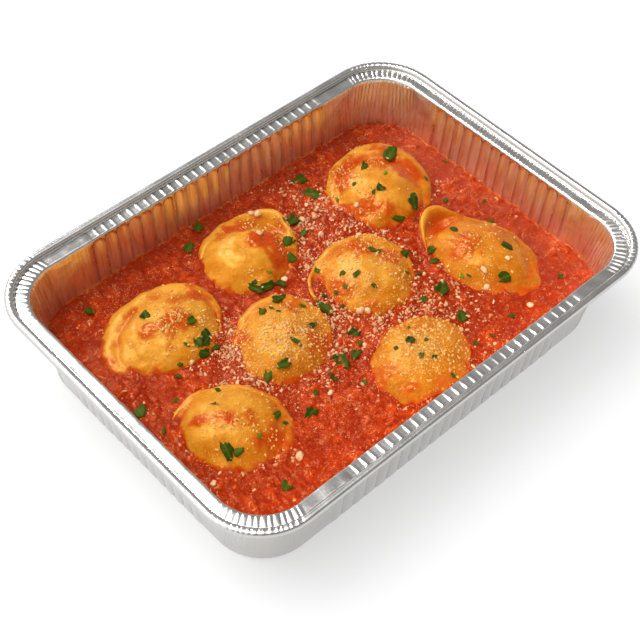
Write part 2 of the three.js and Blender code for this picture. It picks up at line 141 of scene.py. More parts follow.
PEBBLE = 1.7  # lumps of the sauce that lies on top

# at: middle of the dome. pale: how much paler than the others.
# dome, rim: half sizes along the bearing `turn` and across it. rim_at: middle of the pinched rim.
# rise: top of the dome over the sauce. lean: slope.
# creases: where a fold parts the roll from the dome, as bearing, spread and depth.
# frills: where the rim lies flat by the dome and turns up at its edge, as bearing, spread, lift and reach.
# dents: hollows in the dome, as x and y from its middle, radius and depth.
# smears: sauce on top, as x and y from its middle, half sizes, bearing and strength.
RAVIOLI = [
    dict(at=(-58.3, 27.5), pale=0.3, turn=5, dome=(22.4, 17.6), rim_at=(-59.5, 31.6), rim=(27.5, 20.5),
         rise=9, lean=0.11, creases=[(75, 60, 1.1), (158, 14, 0.5)], frills=[],
         dents=[(-15, 3, 3, 1), (-12, -6, 4.5, 1), (10, -9, 5, 0.6), (8, 9, 3, 0.5)],
         smears=[(-7, 3, 4, 3.5, 20, 0.9), (1, 0, 7, 6, 10, 0.9), (11, 10, 6, 3, -20, 0.6),
                 (22, 7, 5, 6, 0, 1)]),
    dict(at=(-68.9, -22.7), pale=0.1, turn=-62, dome=(20.2, 18.6), rim_at=(-67.5, -22.3), rim=(23, 20),
         rise=9.5, lean=0.1, creases=[(120, 35, 0.8), (-20, 30, 0.9)], frills=[(128, 14, 1, 1.8)],
         dents=[(6, 8, 5, 0.6), (-9, -7, 5, 0.5), (9, -3, 4, 0.5), (-3, 11, 3, 0.5)],
         smears=[(-9, 8, 4, 3, -45, 1), (-1.5, 1.5, 8, 4, -45, 1), (6, -4, 4, 4, 0, 0.8),
                 (9, -15, 8, 7, 45, 1)]),
    dict(at=(-29, -5.6), pale=0, turn=45, dome=(20.4, 17.4), rim_at=(-26.4, -2.8), rim=(22.2, 19.6),
         rise=10, lean=0.12, creases=[(60, 50, 0.5)], frills=[],
         dents=[(-2, 4, 2.5, 0.5), (-12, 7, 4, 0.5), (8, -8, 5, 0.5)],
         smears=[(12, -10, 6, 10, 45, 0.9), (-12, 15, 4, 8, 45, 1), (16, 12, 5, 8, -45, 0.7)]),
    dict(at=(-11, 37.3), pale=0.2, turn=30, dome=(19.5, 17.3), rim_at=(-7.8, 39.2), rim=(22.8, 20.5),
         rise=9.5, lean=0.12, creases=[(150, 25, 0.6)], frills=[(20, 22, 4.2, 1.6)],
         dents=[(3, 2, 5, 0.9), (-6, -9, 4, 0.6), (-4, 8, 4, 0.8), (-13, 3, 3, 0.5)],
         smears=[(12, 1, 8, 7, 0, 1), (8, 13, 9, 4, -20, 1), (13, -9, 9, 8, 45, 1)]),
    dict(at=(19.3, -3.2), pale=0, turn=45, dome=(19.6, 19), rim_at=(20.2, -0.8), rim=(22.6, 21.6),
         rise=9, lean=0.1, creases=[(70, 40, 0.8)], frills=[(152, 22, 4, 2.6)],
         dents=[(-9, -4, 4, 0.6), (6, 2, 5, 0.5), (-3, -10, 4, 0.5)],
         smears=[(8, 12, 8, 5, -45, 1), (14, 3, 6, 5, 0, 0.9), (-11, 3, 4, 8, 20, 0.9),
                 (-8, -11, 5, 3, -45, 0.7)]),
    dict(at=(57.2, 28.4), pale=0, turn=45, dome=(19.2, 18.4), rim_at=(60.2, 32), rim=(25.4, 23),
         rise=9, lean=0.12, creases=[(70, 50, 1.6)], frills=[],
         dents=[(-10, -5, 4, 1), (1, 10, 5, 0.5), (10, -6, 4, 0.7)],
         smears=[(-10, -4, 4, 12, 45, 1), (-4, 18, 9, 5, 40, 1), (13, 13, 6, 9, -45, 0.8),
                 (17, 1, 7, 9, 0, 1)]),
    dict(at=(64.5, -24), pale=-0.27, turn=-85, dome=(22.6, 18.2), rim_at=(65.2, -25.6), rim=(26.2, 19.6),
         rise=9, lean=0.07, creases=[(-50, 45, 0.5)], frills=[(92, 23, 4.8, 7.5)],
         dents=[(-11, -6, 5, 1), (-3, -14, 4, 1), (5, 4, 3, 0.5), (3, 14, 4, 0.5)],
         smears=[(-5, 6, 7, 6, 30, 1), (12, 2, 6, 5, 0, 0.6), (-5, -17, 5, 4, 0, 0.5),
                 (10, 22, 6, 3, 0, 0.6)]),
    dict(at=(5.8, -45.6), pale=-0.18, turn=5, dome=(21.5, 18), rim_at=(6.4, -44.8), rim=(23.8, 18.8),
         rise=9, lean=0.08, creases=[(50, 40, 0.7)], frills=[],
         dents=[(-11, -7, 4, 0.6), (9, 9, 5, 0.5), (9, -6, 5, 0.6)],
         smears=[(-13, -8, 4, 3, -45, 0.9), (11, 8, 7, 5, -45, 0.5), (-18, 6, 5, 8, 45, 0.8),
                 (0, -14, 5, 3, 0, 0.6)]),
]

# ---- Parsley ----
# Larger leaves as the camera sees them, on a level plane at LEAF_PLANE: x, y, length, width, bearing.
LEAF_PLANE = 20
LEAVES = [
    (38, 58, 10, 5, 0), (36, 48, 10, 5, -60), (19, 42, 7, 5, 20), (10, 35, 6.5, 4.5, 40),
    (18, 34, 5, 3, 0), (5, 27, 5, 4, 70), (-13, 65, 5, 4, 50), (-23, 59, 6, 4, 20),
    (-74, 58, 5, 3.5, -60), (-12.5, 22, 6.5, 4, -20), (-8, 19.5, 6, 3.5, -55), (-17, 24, 8, 3.5, -70),
    (-14, 14, 6, 4, -20), (-23, 13, 5, 3.5, 60), (-3, -2, 10, 3.5, -80), (-49.5, 16.5, 6, 4, 20),
    (-53.5, 12.5, 5.5, 4.5, -50), (-52, 18, 5.5, 4, 75), (-48.5, 11.5, 4.5, 3.5, -10),
    (-47, 20, 6, 4, 80), (-59, 42, 5, 4, 60), (-47, 28, 4.5, 4, 10), (-89, 7, 7, 5.5, 70),
    (-76, -28, 8, 4.5, 70), (-73, -31, 5, 3.5, 10), (-23, -7, 7, 2, 100), (-34, -12, 6.5, 4, -15),
    (-42, -12, 6, 3.5, 40), (-13, -5, 5.5, 2.5, 0), (-4, -19, 7, 4.5, -10), (-16, -26, 8, 5, 80),
    (-10, -27, 5, 4, 30), (-42, -36, 7, 5, 10), (-24, -29, 5, 3.5, 60), (-70, -54, 5.5, 4.5, 30),
    (39, -26, 7.5, 6, 40), (30, -25, 5.5, 3, 70), (35, -41, 6, 4.5, 60), (11, -36, 5, 4, 15),
    (48, -13, 4.5, 3.5, 0), (63, -38, 6.5, 5, -20), (77, -27, 6, 4, -60), (67, -6, 5, 3, 80),
    (52, -8, 5, 3.5, -30), (66, 17, 9, 5, 60), (79, 44, 9, 6, 20), (65, 46, 5.5, 3, 35),
    (54, 14, 6, 3, -40), (61, 32, 4.5, 3.5, 80), (42, -2, 4.5, 4, 20), (33, 8, 6, 3, -50),
    (19, 3, 5, 2.5, 10), (-52, -28, 5, 3, 0),
]
# Chopped bits between them, as seen on the same plane.
BITS = [
    (-24, 57), (17, 45), (-7, 27), (-46, 18), (-64, 14), (-68, 10), (-76, 2), (-88, -6), (-61, -5),
    (-66, -9), (-18, 9), (-9, 5), (1, 3), (6, 1), (8, 15), (15, 7), (11, 1), (3, -6), (20, -6),
    (-63, -31), (-52, -33), (-34, -30), (-17, -22), (-5, -24), (-17, -39), (15, -31), (4, -35),
    (16, -40), (9, -44), (12, -48), (11, -59), (29, -54), (37, -56), (43, -24), (38, -14), (35, -10),
    (35, 6), (51, -26), (53, -28), (82, -13), (50, -54), (81, -53), (89, -3), (94, 25), (80, 23),
    (54, 41), (42, 39), (57, 32), (69, 37), (59, 9), (77, 8), (-15, 27), (-19, 12), (-56, 20), (22, 40),
    (12, 33),
]
LIGHT_GREEN = {(69, 37), (42, 39), (-7, 27), (-63, -31), (51, -26), (-24, 57)}  # the paler bits
BIT_LENGTHS = (2, 3.4)
LEAF_POINTS = 28
LEAF_SHRINK = 0.92  # share of the sizes above that a leaf has
LEAF_RINGS = (1, 0.7, 0.36)
LEAF_THICKNESS = 0.22
LEAF_LIFT = 0.25

# ---- Cheese ----
# Larger crumbs as the camera sees them on the same plane: x, y, length.
CRUMBS = [
    (4, 46, 3), (9, 57, 2.4), (11, 55, 2.8), (23, 40, 2.6), (28, 38, 2.8), (23, 29, 2.6), (-5, 20, 3),
    (35, 18, 2.4), (-30, -34, 2.6), (-58, -47, 3.3), (-89, -36, 3.2), (60, -55, 2.6), (46, 31, 2.4),
    (54, -37, 2.4), (7, -12, 3.2), (9, -14, 2.6), (30, 45, 2.4), (60, -30, 3), (72, -32, 2.2),
    (-60, 12, 2.4),
]
GRAINS, GRAIN_LENGTHS = 9000, (0.5, 2.3)
DUST, DUST_LENGTHS = 9000, (0.3, 0.65)
PASTA_GRAIN = 0.7  # it is finer on the pasta, where it melts in
PINCH_SPREAD = 0.45
LEAF_SEED, GRAIN_SEED, DUST_SEED, CRUMB_SEED = 3, 8, 9, 12
# Where it is strewn: x, y, spread along each axis, and share of it.
STREWN = [
    (5, 8, 42, 30, 0.36), (-22, -16, 13, 10, 0.12), (-31, -5, 7, 7, 0.12), (8, -46, 8, 8, 0.1),
    (25, 34, 13, 11, 0.1), (22, -2, 9, 9, 0.05), (-42, 8, 5, 7, 0.04), (61, -19, 10, 10, 0.04),
    (-70, -20, 8, 8, 0.04), (-59, 27, 10, 7, 0.03),
]

# ---- Camera ----
PICTURE = 640
FOCAL_PIXELS = 1352.3
SENSOR = 36
CAMERA_AT = (-248.7, -245.6, 432.5)
CAMERA_AIM = (-5.84, -2.26, 15.3)
CAMERA_ROLL = 2.85


# ---- Noise ----

def cell_value(i, j, seed):
    """A repeatable number from 0 to 1 for each whole-numbered cell."""
    mixed = (i.astype(np.int64) * 374761393 + j.astype(np.int64) * 668265263 + seed * 362437) & 0xFFFFFFFF
    mixed = ((mixed ^ (mixed >> 13)) * 1274126177) & 0xFFFFFFFF
    return ((mixed ^ (mixed >> 16)) & 0xFFFF) / 0xFFFF


def noise(x, y, size, seed):
    """Smooth noise from -1 to 1, with swells of about that size."""
    tilt = seed * 1.3
    u = (x * math.cos(tilt) - y * math.sin(tilt)) / size
    v = (x * math.sin(tilt) + y * math.cos(tilt)) / size
    i, j = np.floor(u), np.floor(v)
    p, q = (t * t * (3 - 2 * t) for t in (u - i, v - j))
    near = cell_value(i, j, seed) * (1 - p) + cell_value(i + 1, j, seed) * p
    far = cell_value(i, j + 1, seed) * (1 - p) + cell_value(i + 1, j + 1, seed) * p
    return 2 * (near * (1 - q) + far * q) - 1


def pebbles(x, y, size, seed):
    """Distance to the nearest of strewn points, as a share of size, and that point's own number, 0 to 1."""
    u, v = x / size, y / size
    nearest = np.full(u.shape, 9.0)
    tone = np.zeros(u.shape)
    for a in (-1, 0, 1):
        for b in (-1, 0, 1):
            i, j = np.floor(u) + a, np.floor(v) + b
            away = np.hypot(i + cell_value(i, j, seed) - u, j + cell_value(i, j, seed + 1) - v)
            closer = away < nearest
            nearest = np.where(closer, away, nearest)
            tone = np.where(closer, cell_value(i, j, seed + 2), tone)
    return nearest, tone


def strands(x, y, size, seed, sharp):
    """Thin winding ridges, 0 to 1."""
    return (1 - np.abs(noise(x, y, size, seed))) ** sharp


def step(value, low, high):
    """0 below low, 1 above high, smooth between them."""
    t = np.clip((value - low) / (high - low), 0, 1)
    return t * t * (3 - 2 * t)


def turned(x, y, degrees):
    """How far a point lies along a bearing and across it."""
    c, s = math.cos(math.radians(degrees)), math.sin(math.radians(degrees))
    return x * c + y * s, y * c - x * s


# ---- Meshes ----

def make_mesh(name, points, faces, material, smooth=True, **attributes):
    """An object from points in millimetres, with one number for each point in each named attribute."""
    mesh = bpy.data.meshes.new(name)
    mesh.from_pydata((np.asarray(points) * MM).tolist(), [], faces)
    mesh.polygons.foreach_set("use_smooth", [smooth] * len(mesh.polygons))
    for key, values in attributes.items():
        mesh.attributes.new(key, "FLOAT", "POINT").data.foreach_set("value", np.asarray(values, np.float32))
    mesh.materials.append(material)
    mesh.update()
    made = bpy.data.objects.new(name, mesh)
    bpy.context.scene.collection.objects.link(made)
    return made


def loft_faces(rings, columns):
    """Faces of closed rings joined one to the next, and to a point at either end."""
    faces = []
    first, last = rings * columns, rings * columns + 1
    top = (rings - 1) * columns
    for c in range(columns):
        d = (c + 1) % columns
        faces.append((first, d, c))
        faces.extend((r + c, r + d, r + columns + d, r + columns + c) for r in range(0, top, columns))
        faces.append((top + c, top + d, last))
    return faces


def copied_faces(shape, size, count):
    """Faces of a mesh that is made of count copies of a shape with size points."""
    return [tuple(first + k for k in face) for first in range(0, count * size, size) for face in shape]


def make_piece(name, node, slot, points, faces, material, **more):
    """A mesh that rides on the part and stands for a CAD node, where one is given."""
    piece = make_mesh(name, points, faces, material, **more)
    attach(piece, "root")
    if node:
        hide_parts(node)
    return piece


# ---- Materials ----

class Nodes:
    """A material's or world's node tree, built up one call at a time."""

    def __init__(self, owner):
        owner.use_nodes = True
        self.tree = owner.node_tree
        self.tree.nodes.clear()

    def feed(self, socket, value):
        """Give a socket a value, or link another node's output to it."""
        if isinstance(value, bpy.types.NodeSocket):
            self.tree.links.new(value, socket)
        else:
            socket.default_value = value

    def add(self, kind, settings=None, **inputs):
        """A node. An input is named as its socket, with underscores for spaces, or _ and its number."""
        node = self.tree.nodes.new(kind)
        for key, value in (settings or {}).items():
            setattr(node, key, value)
        for key, value in inputs.items():
            socket = int(key[1:]) if key[0] == "_" else key.replace("_", " ")
            self.feed(node.inputs[socket], value)
        return node

    def math(self, operation, *values):
        made = self.add("ShaderNodeMath", {"operation": operation})
        for socket, value in zip(made.inputs, values):
            self.feed(socket, value)
        return made.outputs[0]

    def plus(self, first, second):
        return self.math("ADD", first, second)

    def times(self, first, second):
        return self.math("MULTIPLY", first, second)

    def mix(self, share, first, second):
        """Between two colours."""
        made = self.add("ShaderNodeMix", {"data_type": "RGBA"}, _0=share, _6=first, _7=second)
        return made.outputs[2]

    def ramp(self, share, *stops):
        """Colours along 0 to 1, as (place, colour) stops."""
        made = self.add("ShaderNodeValToRGB", Fac=share)
        elements = made.color_ramp.elements
        while len(elements) < len(stops):
            elements.new(0.5)
        for element, (place, colour) in zip(elements, stops):
            element.position = place
            element.color = colour
        return made.outputs[0]

    def span(self, value, low, high, to_low=0.0, to_high=1.0):
        """A value moved from one range to another, kept inside it."""
        made = self.add("ShaderNodeMapRange", Value=value, From_Min=low, From_Max=high,
                        To_Min=to_low, To_Max=to_high)
        return made.outputs[0]

    def place(self, stretch=(1, 1, 1)):
        """Object coordinates in millimetres, stretched."""
        where = self.add("ShaderNodeTexCoord").outputs["Object"]
        scale = [s / MM for s in stretch]
        return self.add("ShaderNodeMapping", Vector=where, Scale=scale).outputs[0]

    def noise(self, size, detail=3, roughness=0.5, distortion=0.0, stretch=(1, 1, 1)):
        """Noise with swells of about that many millimetres."""
        made = self.add("ShaderNodeTexNoise", Vector=self.place(stretch), Scale=1 / size, Detail=detail,
                        Roughness=roughness, Distortion=distortion)
        return made.outputs["Fac"]

    def cells(self, size):
        """Rounded lumps of about that many millimetres, 0 in the creases between them to 1 on top."""
        where = self.place()
        sway = self.add("ShaderNodeTexNoise", Vector=where, Scale=1 / size, Detail=1.0).outputs["Color"]
        bent = self.add("ShaderNodeVectorMath", {"operation": "MULTIPLY_ADD"},
                        _0=sway, _1=(size,) * 3, _2=where)
        made = self.add("ShaderNodeTexVoronoi", {"feature": "SMOOTH_F1"}, Vector=bent.outputs[0],
                        Scale=1 / size, Smoothness=0.4)
        return self.span(made.outputs["Distance"], 0.1, 0.8, 1, 0)

    def attribute(self, name):
        return self.add("ShaderNodeAttribute", {"attribute_name": name}).outputs["Fac"]

    def bump(self, height, strength, distance):
        made = self.add("ShaderNodeBump", Height=height, Strength=strength, Distance=distance * MM)
        return made.outputs[0]

    def surface(self, **inputs):
        shader = self.add("ShaderNodeBsdfPrincipled", **inputs)
        self.tree.links.new(shader.outputs[0], self.add("ShaderNodeOutputMaterial").inputs[0])
        return shader


def new_material(name):
    made = bpy.data.materials.new(name)
    return made, Nodes(made)


def foil_material():
    """Rolled aluminium foil: fine upright drawing marks, uneven gloss and a film of oil, whose warm tint is
    partly a painted reflection of the sauce and whose thin places on cusps and in pleats are painted shade.
    """
    material, n = new_material("rolled_foil")
    marks = n.noise(1.1, detail=2, stretch=(1, 1, 0.02))
    cloud = n.noise(9, detail=3)
    film = n.attribute("film")
    bare = n.mix(cloud, (0.54, 0.522, 0.503, 1), (0.63, 0.612, 0.592, 1))
    film_tint_and_painted_reflection = n.mix(n.span(marks, 0.34, 0.58), (0.84, 0.74, 0.43, 1), (1.0, 1.0, 0.84, 1))
    n.surface(
        Base_Color=n.mix(film, bare, film_tint_and_painted_reflection),
        Metallic=1.0,
        Roughness=n.plus(n.span(cloud, 0.3, 0.7, 0.2, 0.28), n.times(film, 0.12)),
        Normal=n.bump(marks, n.plus(0.15, n.times(film, 0.5)), 0.3),
    )
    return material


def sauce_colour(n, share):
    """Deep red in the hollows of the sauce, orange red and then salmon on its pulp."""
    return n.ramp(share, (0.12, (0.30, 0.012, 0.0004, 1)), (0.45, (0.46, 0.031, 0.0006, 1)),
                  (0.72, (0.55, 0.066, 0.0015, 1)), (0.97, (0.73, 0.225, 0.065, 1)))


def sauce_material():
    """Chunky tomato sauce: deep red hollows, orange red pulp with pale threads and flecks, partly painted
    glints, and a gloss.
    """
    material, n = new_material("tomato_sauce")
    pulp = n.attribute("pulp")
    cloud = n.noise(12, detail=2)
    fine = n.noise(0.9, detail=2, distortion=0.8)
    cells = n.cells(2.3)
    winding = n.math("ABSOLUTE", n.math("SUBTRACT", n.noise(2.6, detail=1.5, distortion=1.2), 0.5))
    threads = n.times(n.span(winding, 0.012, 0.05, 1, 0), n.span(n.noise(1.9, detail=1), 0.54, 0.62))
    flecks = n.span(n.noise(1.1, detail=1, distortion=2.5), 0.64, 0.69)
    share = n.plus(n.times(pulp, 0.55), n.times(fine, 0.3))
    share = n.plus(share, n.span(cloud, 0.3, 0.7, -0.2, 0.06))
    share = n.plus(share, n.span(n.noise(4, detail=1), 0.35, 0.65, -0.12, 0.08))
    # The pale strokes and flecks are partly pulp fibres and partly painted glints of the wet sauce.
    strokes_and_painted_glints = n.math("MAXIMUM", flecks, threads)
    fleck_and_glint_share = n.times(strokes_and_painted_glints, n.span(share, 0.2, 0.6, 0.3, 0.9))
    relief = n.plus(n.times(cells, 0.7), n.times(fine, 0.8))
    relief = n.plus(relief, n.times(strokes_and_painted_glints, 0.3))
    n.surface(
        Base_Color=n.mix(fleck_and_glint_share, sauce_colour(n, share), (0.84, 0.38, 0.17, 1)),
        Roughness=0.06,
        IOR=1.45,
        Specular_IOR_Level=0.42,
        Specular_Tint=(1, 0.25, 0.06, 1),
        Subsurface_Weight=0.2,
        Subsurface_Radius=(1.0, 0.16, 0.05),
        Subsurface_Scale=1.0 * MM,
        Normal=n.bump(relief, 0.75, 0.5),
    )
    return material


def pasta_material():
    """Fresh egg pasta: yellow where it stands high and bare, orange in the folds, glazed with sauce; its
    paler tops and lit side and its darker folds are painted light and shade.
    """
    material, n = new_material("egg_pasta")
    sauce = n.attribute("sauce")
    height = n.attribute("height")
    cloud = n.noise(7, detail=3)
    specks = n.noise(0.8, detail=3)
    fine = n.noise(1.2, detail=3, roughness=0.6, distortion=0.8)
    # The height share paints light and shade: paler high up and on the lit side, darker low down and in the
    # folds.
    bare = n.ramp(
        n.plus(n.times(height, 0.65), n.span(cloud, 0.25, 0.75, 0, 0.5)),
        (0.2, (0.38, 0.080, 0.001, 1)), (0.6, (0.58, 0.165, 0.003, 1)), (1.0, (0.72, 0.31, 0.026, 1)))
    dusty = n.mix(n.span(specks, 0.52, 0.7, 0, 0.45), bare, (0.75, 0.42, 0.06, 1))
    glaze = n.plus(sauce, n.span(fine, 0.25, 0.75, -0.25, 0.25))
    glazed = n.mix(n.span(glaze, 0, 0.6), dusty, (0.52, 0.095, 0.003, 1))
    smeared = sauce_colour(n, n.span(fine, 0.25, 0.75, 0.3, 0.8))
    n.surface(
        Base_Color=n.mix(n.span(glaze, 0.5, 1.0), glazed, smeared),
        Roughness=n.span(sauce, 0, 1, 0.32, 0.17),
        IOR=1.42,
        Specular_IOR_Level=0.5,
        Specular_Tint=(1, 0.62, 0.18, 1),
        Subsurface_Weight=0.15,
        Subsurface_Radius=(1.0, 0.35, 0.06),
        Subsurface_Scale=1.5 * MM,
        Normal=n.bump(n.plus(n.times(specks, 0.3), n.times(fine, 0.5)), 0.6, 0.4),
    )
    return material


def parsley_material():
    """Chopped parsley: each leaf its own green, paler along its vein."""
    material, n = new_material("chopped_parsley")
    tone = n.attribute("tone")
    vein = n.attribute("vein")
    fine = n.noise(0.7, detail=3)
    leaf = n.ramp(n.plus(tone, n.times(fine, 0.18)), (0.08, (0.010, 0.024, 0.001, 1)),
                  (0.5, (0.048, 0.074, 0.002, 1)), (1.0, (0.14, 0.23, 0.008, 1)))
    n.surface(
        Base_Color=n.mix(n.times(vein, 0.3), leaf, (0.11, 0.20, 0.012, 1)),
        Roughness=n.span(fine, 0.3, 0.7, 0.32, 0.5),
        Specular_IOR_Level=0.1,
        Specular_Tint=(0.8, 1, 0.3, 1),
        Subsurface_Weight=0.15,
        Subsurface_Radius=(0.5, 1.0, 0.05),
        Subsurface_Scale=0.4 * MM,
        Normal=n.bump(fine, 0.8, 0.3),
    )
    return material


def cheese_material():
    """Grated hard cheese: cream, a little translucent, and yellower where it lies on the pasta."""
    material, n = new_material("grated_cheese")
    tone = n.attribute("tone")
    fine = n.noise(0.4, detail=3)
    n.surface(
        Base_Color=n.ramp(tone, (0.0, (0.62, 0.21, 0.09, 1)), (0.45, (0.84, 0.52, 0.28, 1)),
                          (0.55, (0.71, 0.31, 0.045, 1)), (1.0, (0.84, 0.51, 0.155, 1))),
        Roughness=n.span(fine, 0.3, 0.7, 0.38, 0.6),
        Specular_Tint=(1, 0.8, 0.5, 1),
        Subsurface_Weight=0.5,
        Subsurface_Radius=(1.0, 0.6, 0.35),
        Subsurface_Scale=0.8 * MM,
        Normal=n.bump(fine, 0.4, 0.2),
    )
    return material


# ---- Tray ----

class Columns:
    """Columns of points round the tray from +X: along each side, then round the corner after it."""

    def __init__(self):
        parts = []
        for side in range(4):
            flutes, pitch = (SHORT_FLUTES, SHORT_PITCH) if side % 2 == 0 else (LONG_FLUTES, LONG_PITCH)
            reach = flutes * pitch / 2
            patch = np.arange(1, PATCH_STEPS + 1) / PATCH_STEPS
            fixed = np.linspace(-reach, reach, flutes * FLUTE_STEPS + 1)
            turn = np.arange(1, CORNER_STEPS) / CORNER_STEPS
            count = (PATCH_STEPS, len(fixed), PATCH_STEPS, len(turn))
            zeros = [np.zeros(k) for k in count]
            parts.append(np.array([
                np.full(sum(count), side),
                np.full(sum(count), pitch),
                np.concatenate([zeros[0] - reach, fixed, zeros[2] + reach, zeros[3] + reach]),
                np.concatenate([-patch[::-1], zeros[1], patch, zeros[3] + 1]),
                np.concatenate([zeros[0], zeros[1], zeros[2], turn]),
            ]))
        self.side, self.pitch, self.fixed, self.patch, self.turn = np.concatenate(parts, axis=1)
        self.reach = np.where(self.side % 2 == 0, SHORT_FLUTES * SHORT_PITCH, LONG_FLUTES * LONG_PITCH) / 2
        self.count = len(self.side)

    def straight(self, a, b, r):
        """Half the length of the side's straight part."""
        return np.where(self.side % 2 == 0, b, a) - r

    def along(self, a, b, r):
        """Distance from the middle of the side to the column's foot on it."""
        return self.fixed + self.patch * (self.straight(a, b, r) - self.reach)

    def flute(self):
        """The wall's flutes: 0 at a cusp to 1 in the middle of a flute."""
        number = (self.fixed + self.reach) / self.pitch
        hollow = 1 - np.abs(2 * (number % 1 - 0.5)) ** FLUTE_CURVE
        uneven = 1 + FLUTE_UNEVEN * noise(np.floor(number + 1e-6), self.side * 5, 1.3, 4)
        return np.where(self.patch == 0, hollow * uneven, 0)

    def point(self, a, b, r, push, z):
        """Points on a rounded rectangle with half sizes a and b and corner radius r, moved out by push."""
        far = np.where(self.side % 2 == 0, a, b)
        angle = self.turn * math.pi / 2
        x = far - r + (r + push) * np.cos(angle)
        y = self.along(a, b, r) + (r + push) * np.sin(angle)
        quarter = self.side * math.pi / 2
        return np.stack([
            x * np.cos(quarter) - y * np.sin(quarter),
            x * np.sin(quarter) + y * np.cos(quarter),
            np.broadcast_to(z, x.shape),
        ], axis=-1)


COLUMNS = Columns()


def in_corner(full):
    """0 at the ends of a corner to 1 in it, from where the sine of the way round has grown to full."""
    return step(np.sin(np.pi * COLUMNS.turn), 0, full)


def pleats(z):
    """Narrow pleats of the wall in and beside the corners, at a height: how far they push it in."""
    depth = MOUTH_LEVEL - z
    turn = COLUMNS.turn + 0.006 * np.sin(23 * COLUMNS.turn + COLUMNS.side)
    turn = turn + 0.0015 * depth * np.sin(7 * COLUMNS.turn)
    uneven = 0.65 + 0.35 * noise(np.floor(CORNER_PLEATS * turn + 0.5), COLUMNS.side * 9, 1.3, 11)
    corner = uneven * (1 - np.abs(np.sin(np.pi * CORNER_PLEATS * turn))) ** 2 * in_corner(0.3)
    # Beside a corner they fan out from its top.
    aside = (1 - np.abs(COLUMNS.patch)) * (COLUMNS.straight(*wall_outline(z, 0)) - COLUMNS.reach)
    fan = np.arctan2(depth, aside + 0.01) / (math.pi / 2)
    near = np.exp(-(np.hypot(aside, depth) / FAN_REACH) ** 2)
    fold = (1 - np.abs(np.sin(np.pi * FAN_PLEATS * fan + COLUMNS.side))) ** 1.5 * step(fan, 0.1, 0.4)
    beside = np.where(COLUMNS.patch != 0, fold * near * (1 - np.exp(-aside / 1.5)), 0)
    return PLEAT_DEPTH * np.where(COLUMNS.turn > 0, corner, beside) * min(1, depth / 1.5)


def fluted(share):
    """How far the wall stands out where its flutes have that share of their full depth; below 0 is in."""
    return FLUTE_DEPTH * (COLUMNS.flute() * share - 0.5)


def under_arch(z, run):
    """0 to 1: whether a column has passed under the arch of its flute at a height. Others start at once."""
    start = np.where(COLUMNS.patch == 0, ARCH * (1 - COLUMNS.flute()), 0) * (COLUMNS.turn == 0)
    return step(MOUTH_LEVEL - 0.4 - z - start, 0, run)


def wall_push(z, share=1.0):
    """How far the wall stands out from its plain outline at a height, faded by a share towards the foot."""
    along = COLUMNS.fixed + 90 * COLUMNS.side
    sway = sum(depth * noise(along, np.full(COLUMNS.count, z * upward), size, seed)
               for depth, size, upward, seed in WALL_SWAYS)
    fade = FOOT_FLUTE + (1 - FOOT_FLUTE) * z / MOUTH_LEVEL
    grown = LIP_FLUTE + (1 - LIP_FLUTE) * under_arch(z, FLUTE_RUN)
    return (fluted(grown) * fade + sway - pleats(z)) * share


def wall_outline(z, outside):
    """Half sizes and corner radius of the wall at a height."""
    share = z / MOUTH_LEVEL
    out = (share - 1) * FOOT_TAPER + outside
    return MOUTH_HALF[0] + out, MOUTH_HALF[1] + out, FOOT_CORNER + (MOUTH_CORNER - FOOT_CORNER) * share


def rim_outline(out):
    """Half sizes and corner radius of the rim at a distance outside the mouth."""
    radius = MOUTH_CORNER + (RIM_CORNER - MOUTH_CORNER) * out / RIM_BREADTH
    return MOUTH_HALF[0] + out, MOUTH_HALF[1] + out, radius


def by_side(values):
    """A number for each side of the tray, passing smoothly round each corner to the next one's."""
    side = COLUMNS.side.astype(int)
    here, after = np.take(values, side), np.take(values, (side + 1) % 4)
    return here + (after - here) * step(COLUMNS.turn, 0, 1)


def knurls():
    """Ribs across the flat of the rim: their height along it."""
    phase = COLUMNS.along(*rim_outline(RIM_BREADTH / 2)) / np.take(KNURL_PITCHES, COLUMNS.side.astype(int))
    uneven = 1 + KNURL_UNEVEN * noise(phase, COLUMNS.side * 7, 1.7, 8)
    past = (phase % 1) - 0.5
    away = np.where(past < 0, -past / by_side(KNURL_RISES), past / by_side(KNURL_FALLS))
    rib = np.clip(1 - away, 0, 1)
    straight = KNURL_HEIGHT * by_side(KNURL_SHARES) * uneven * rib * rib * (3 - 2 * rib)
    wave = np.abs(np.sin(np.pi * (COLUMNS.turn * CORNER_KNURLS + 0.08 * np.sin(40 * COLUMNS.turn)))) ** 0.8
    return np.where(COLUMNS.turn > 0, CORNER_HEIGHT * wave * in_corner(0.2), straight)


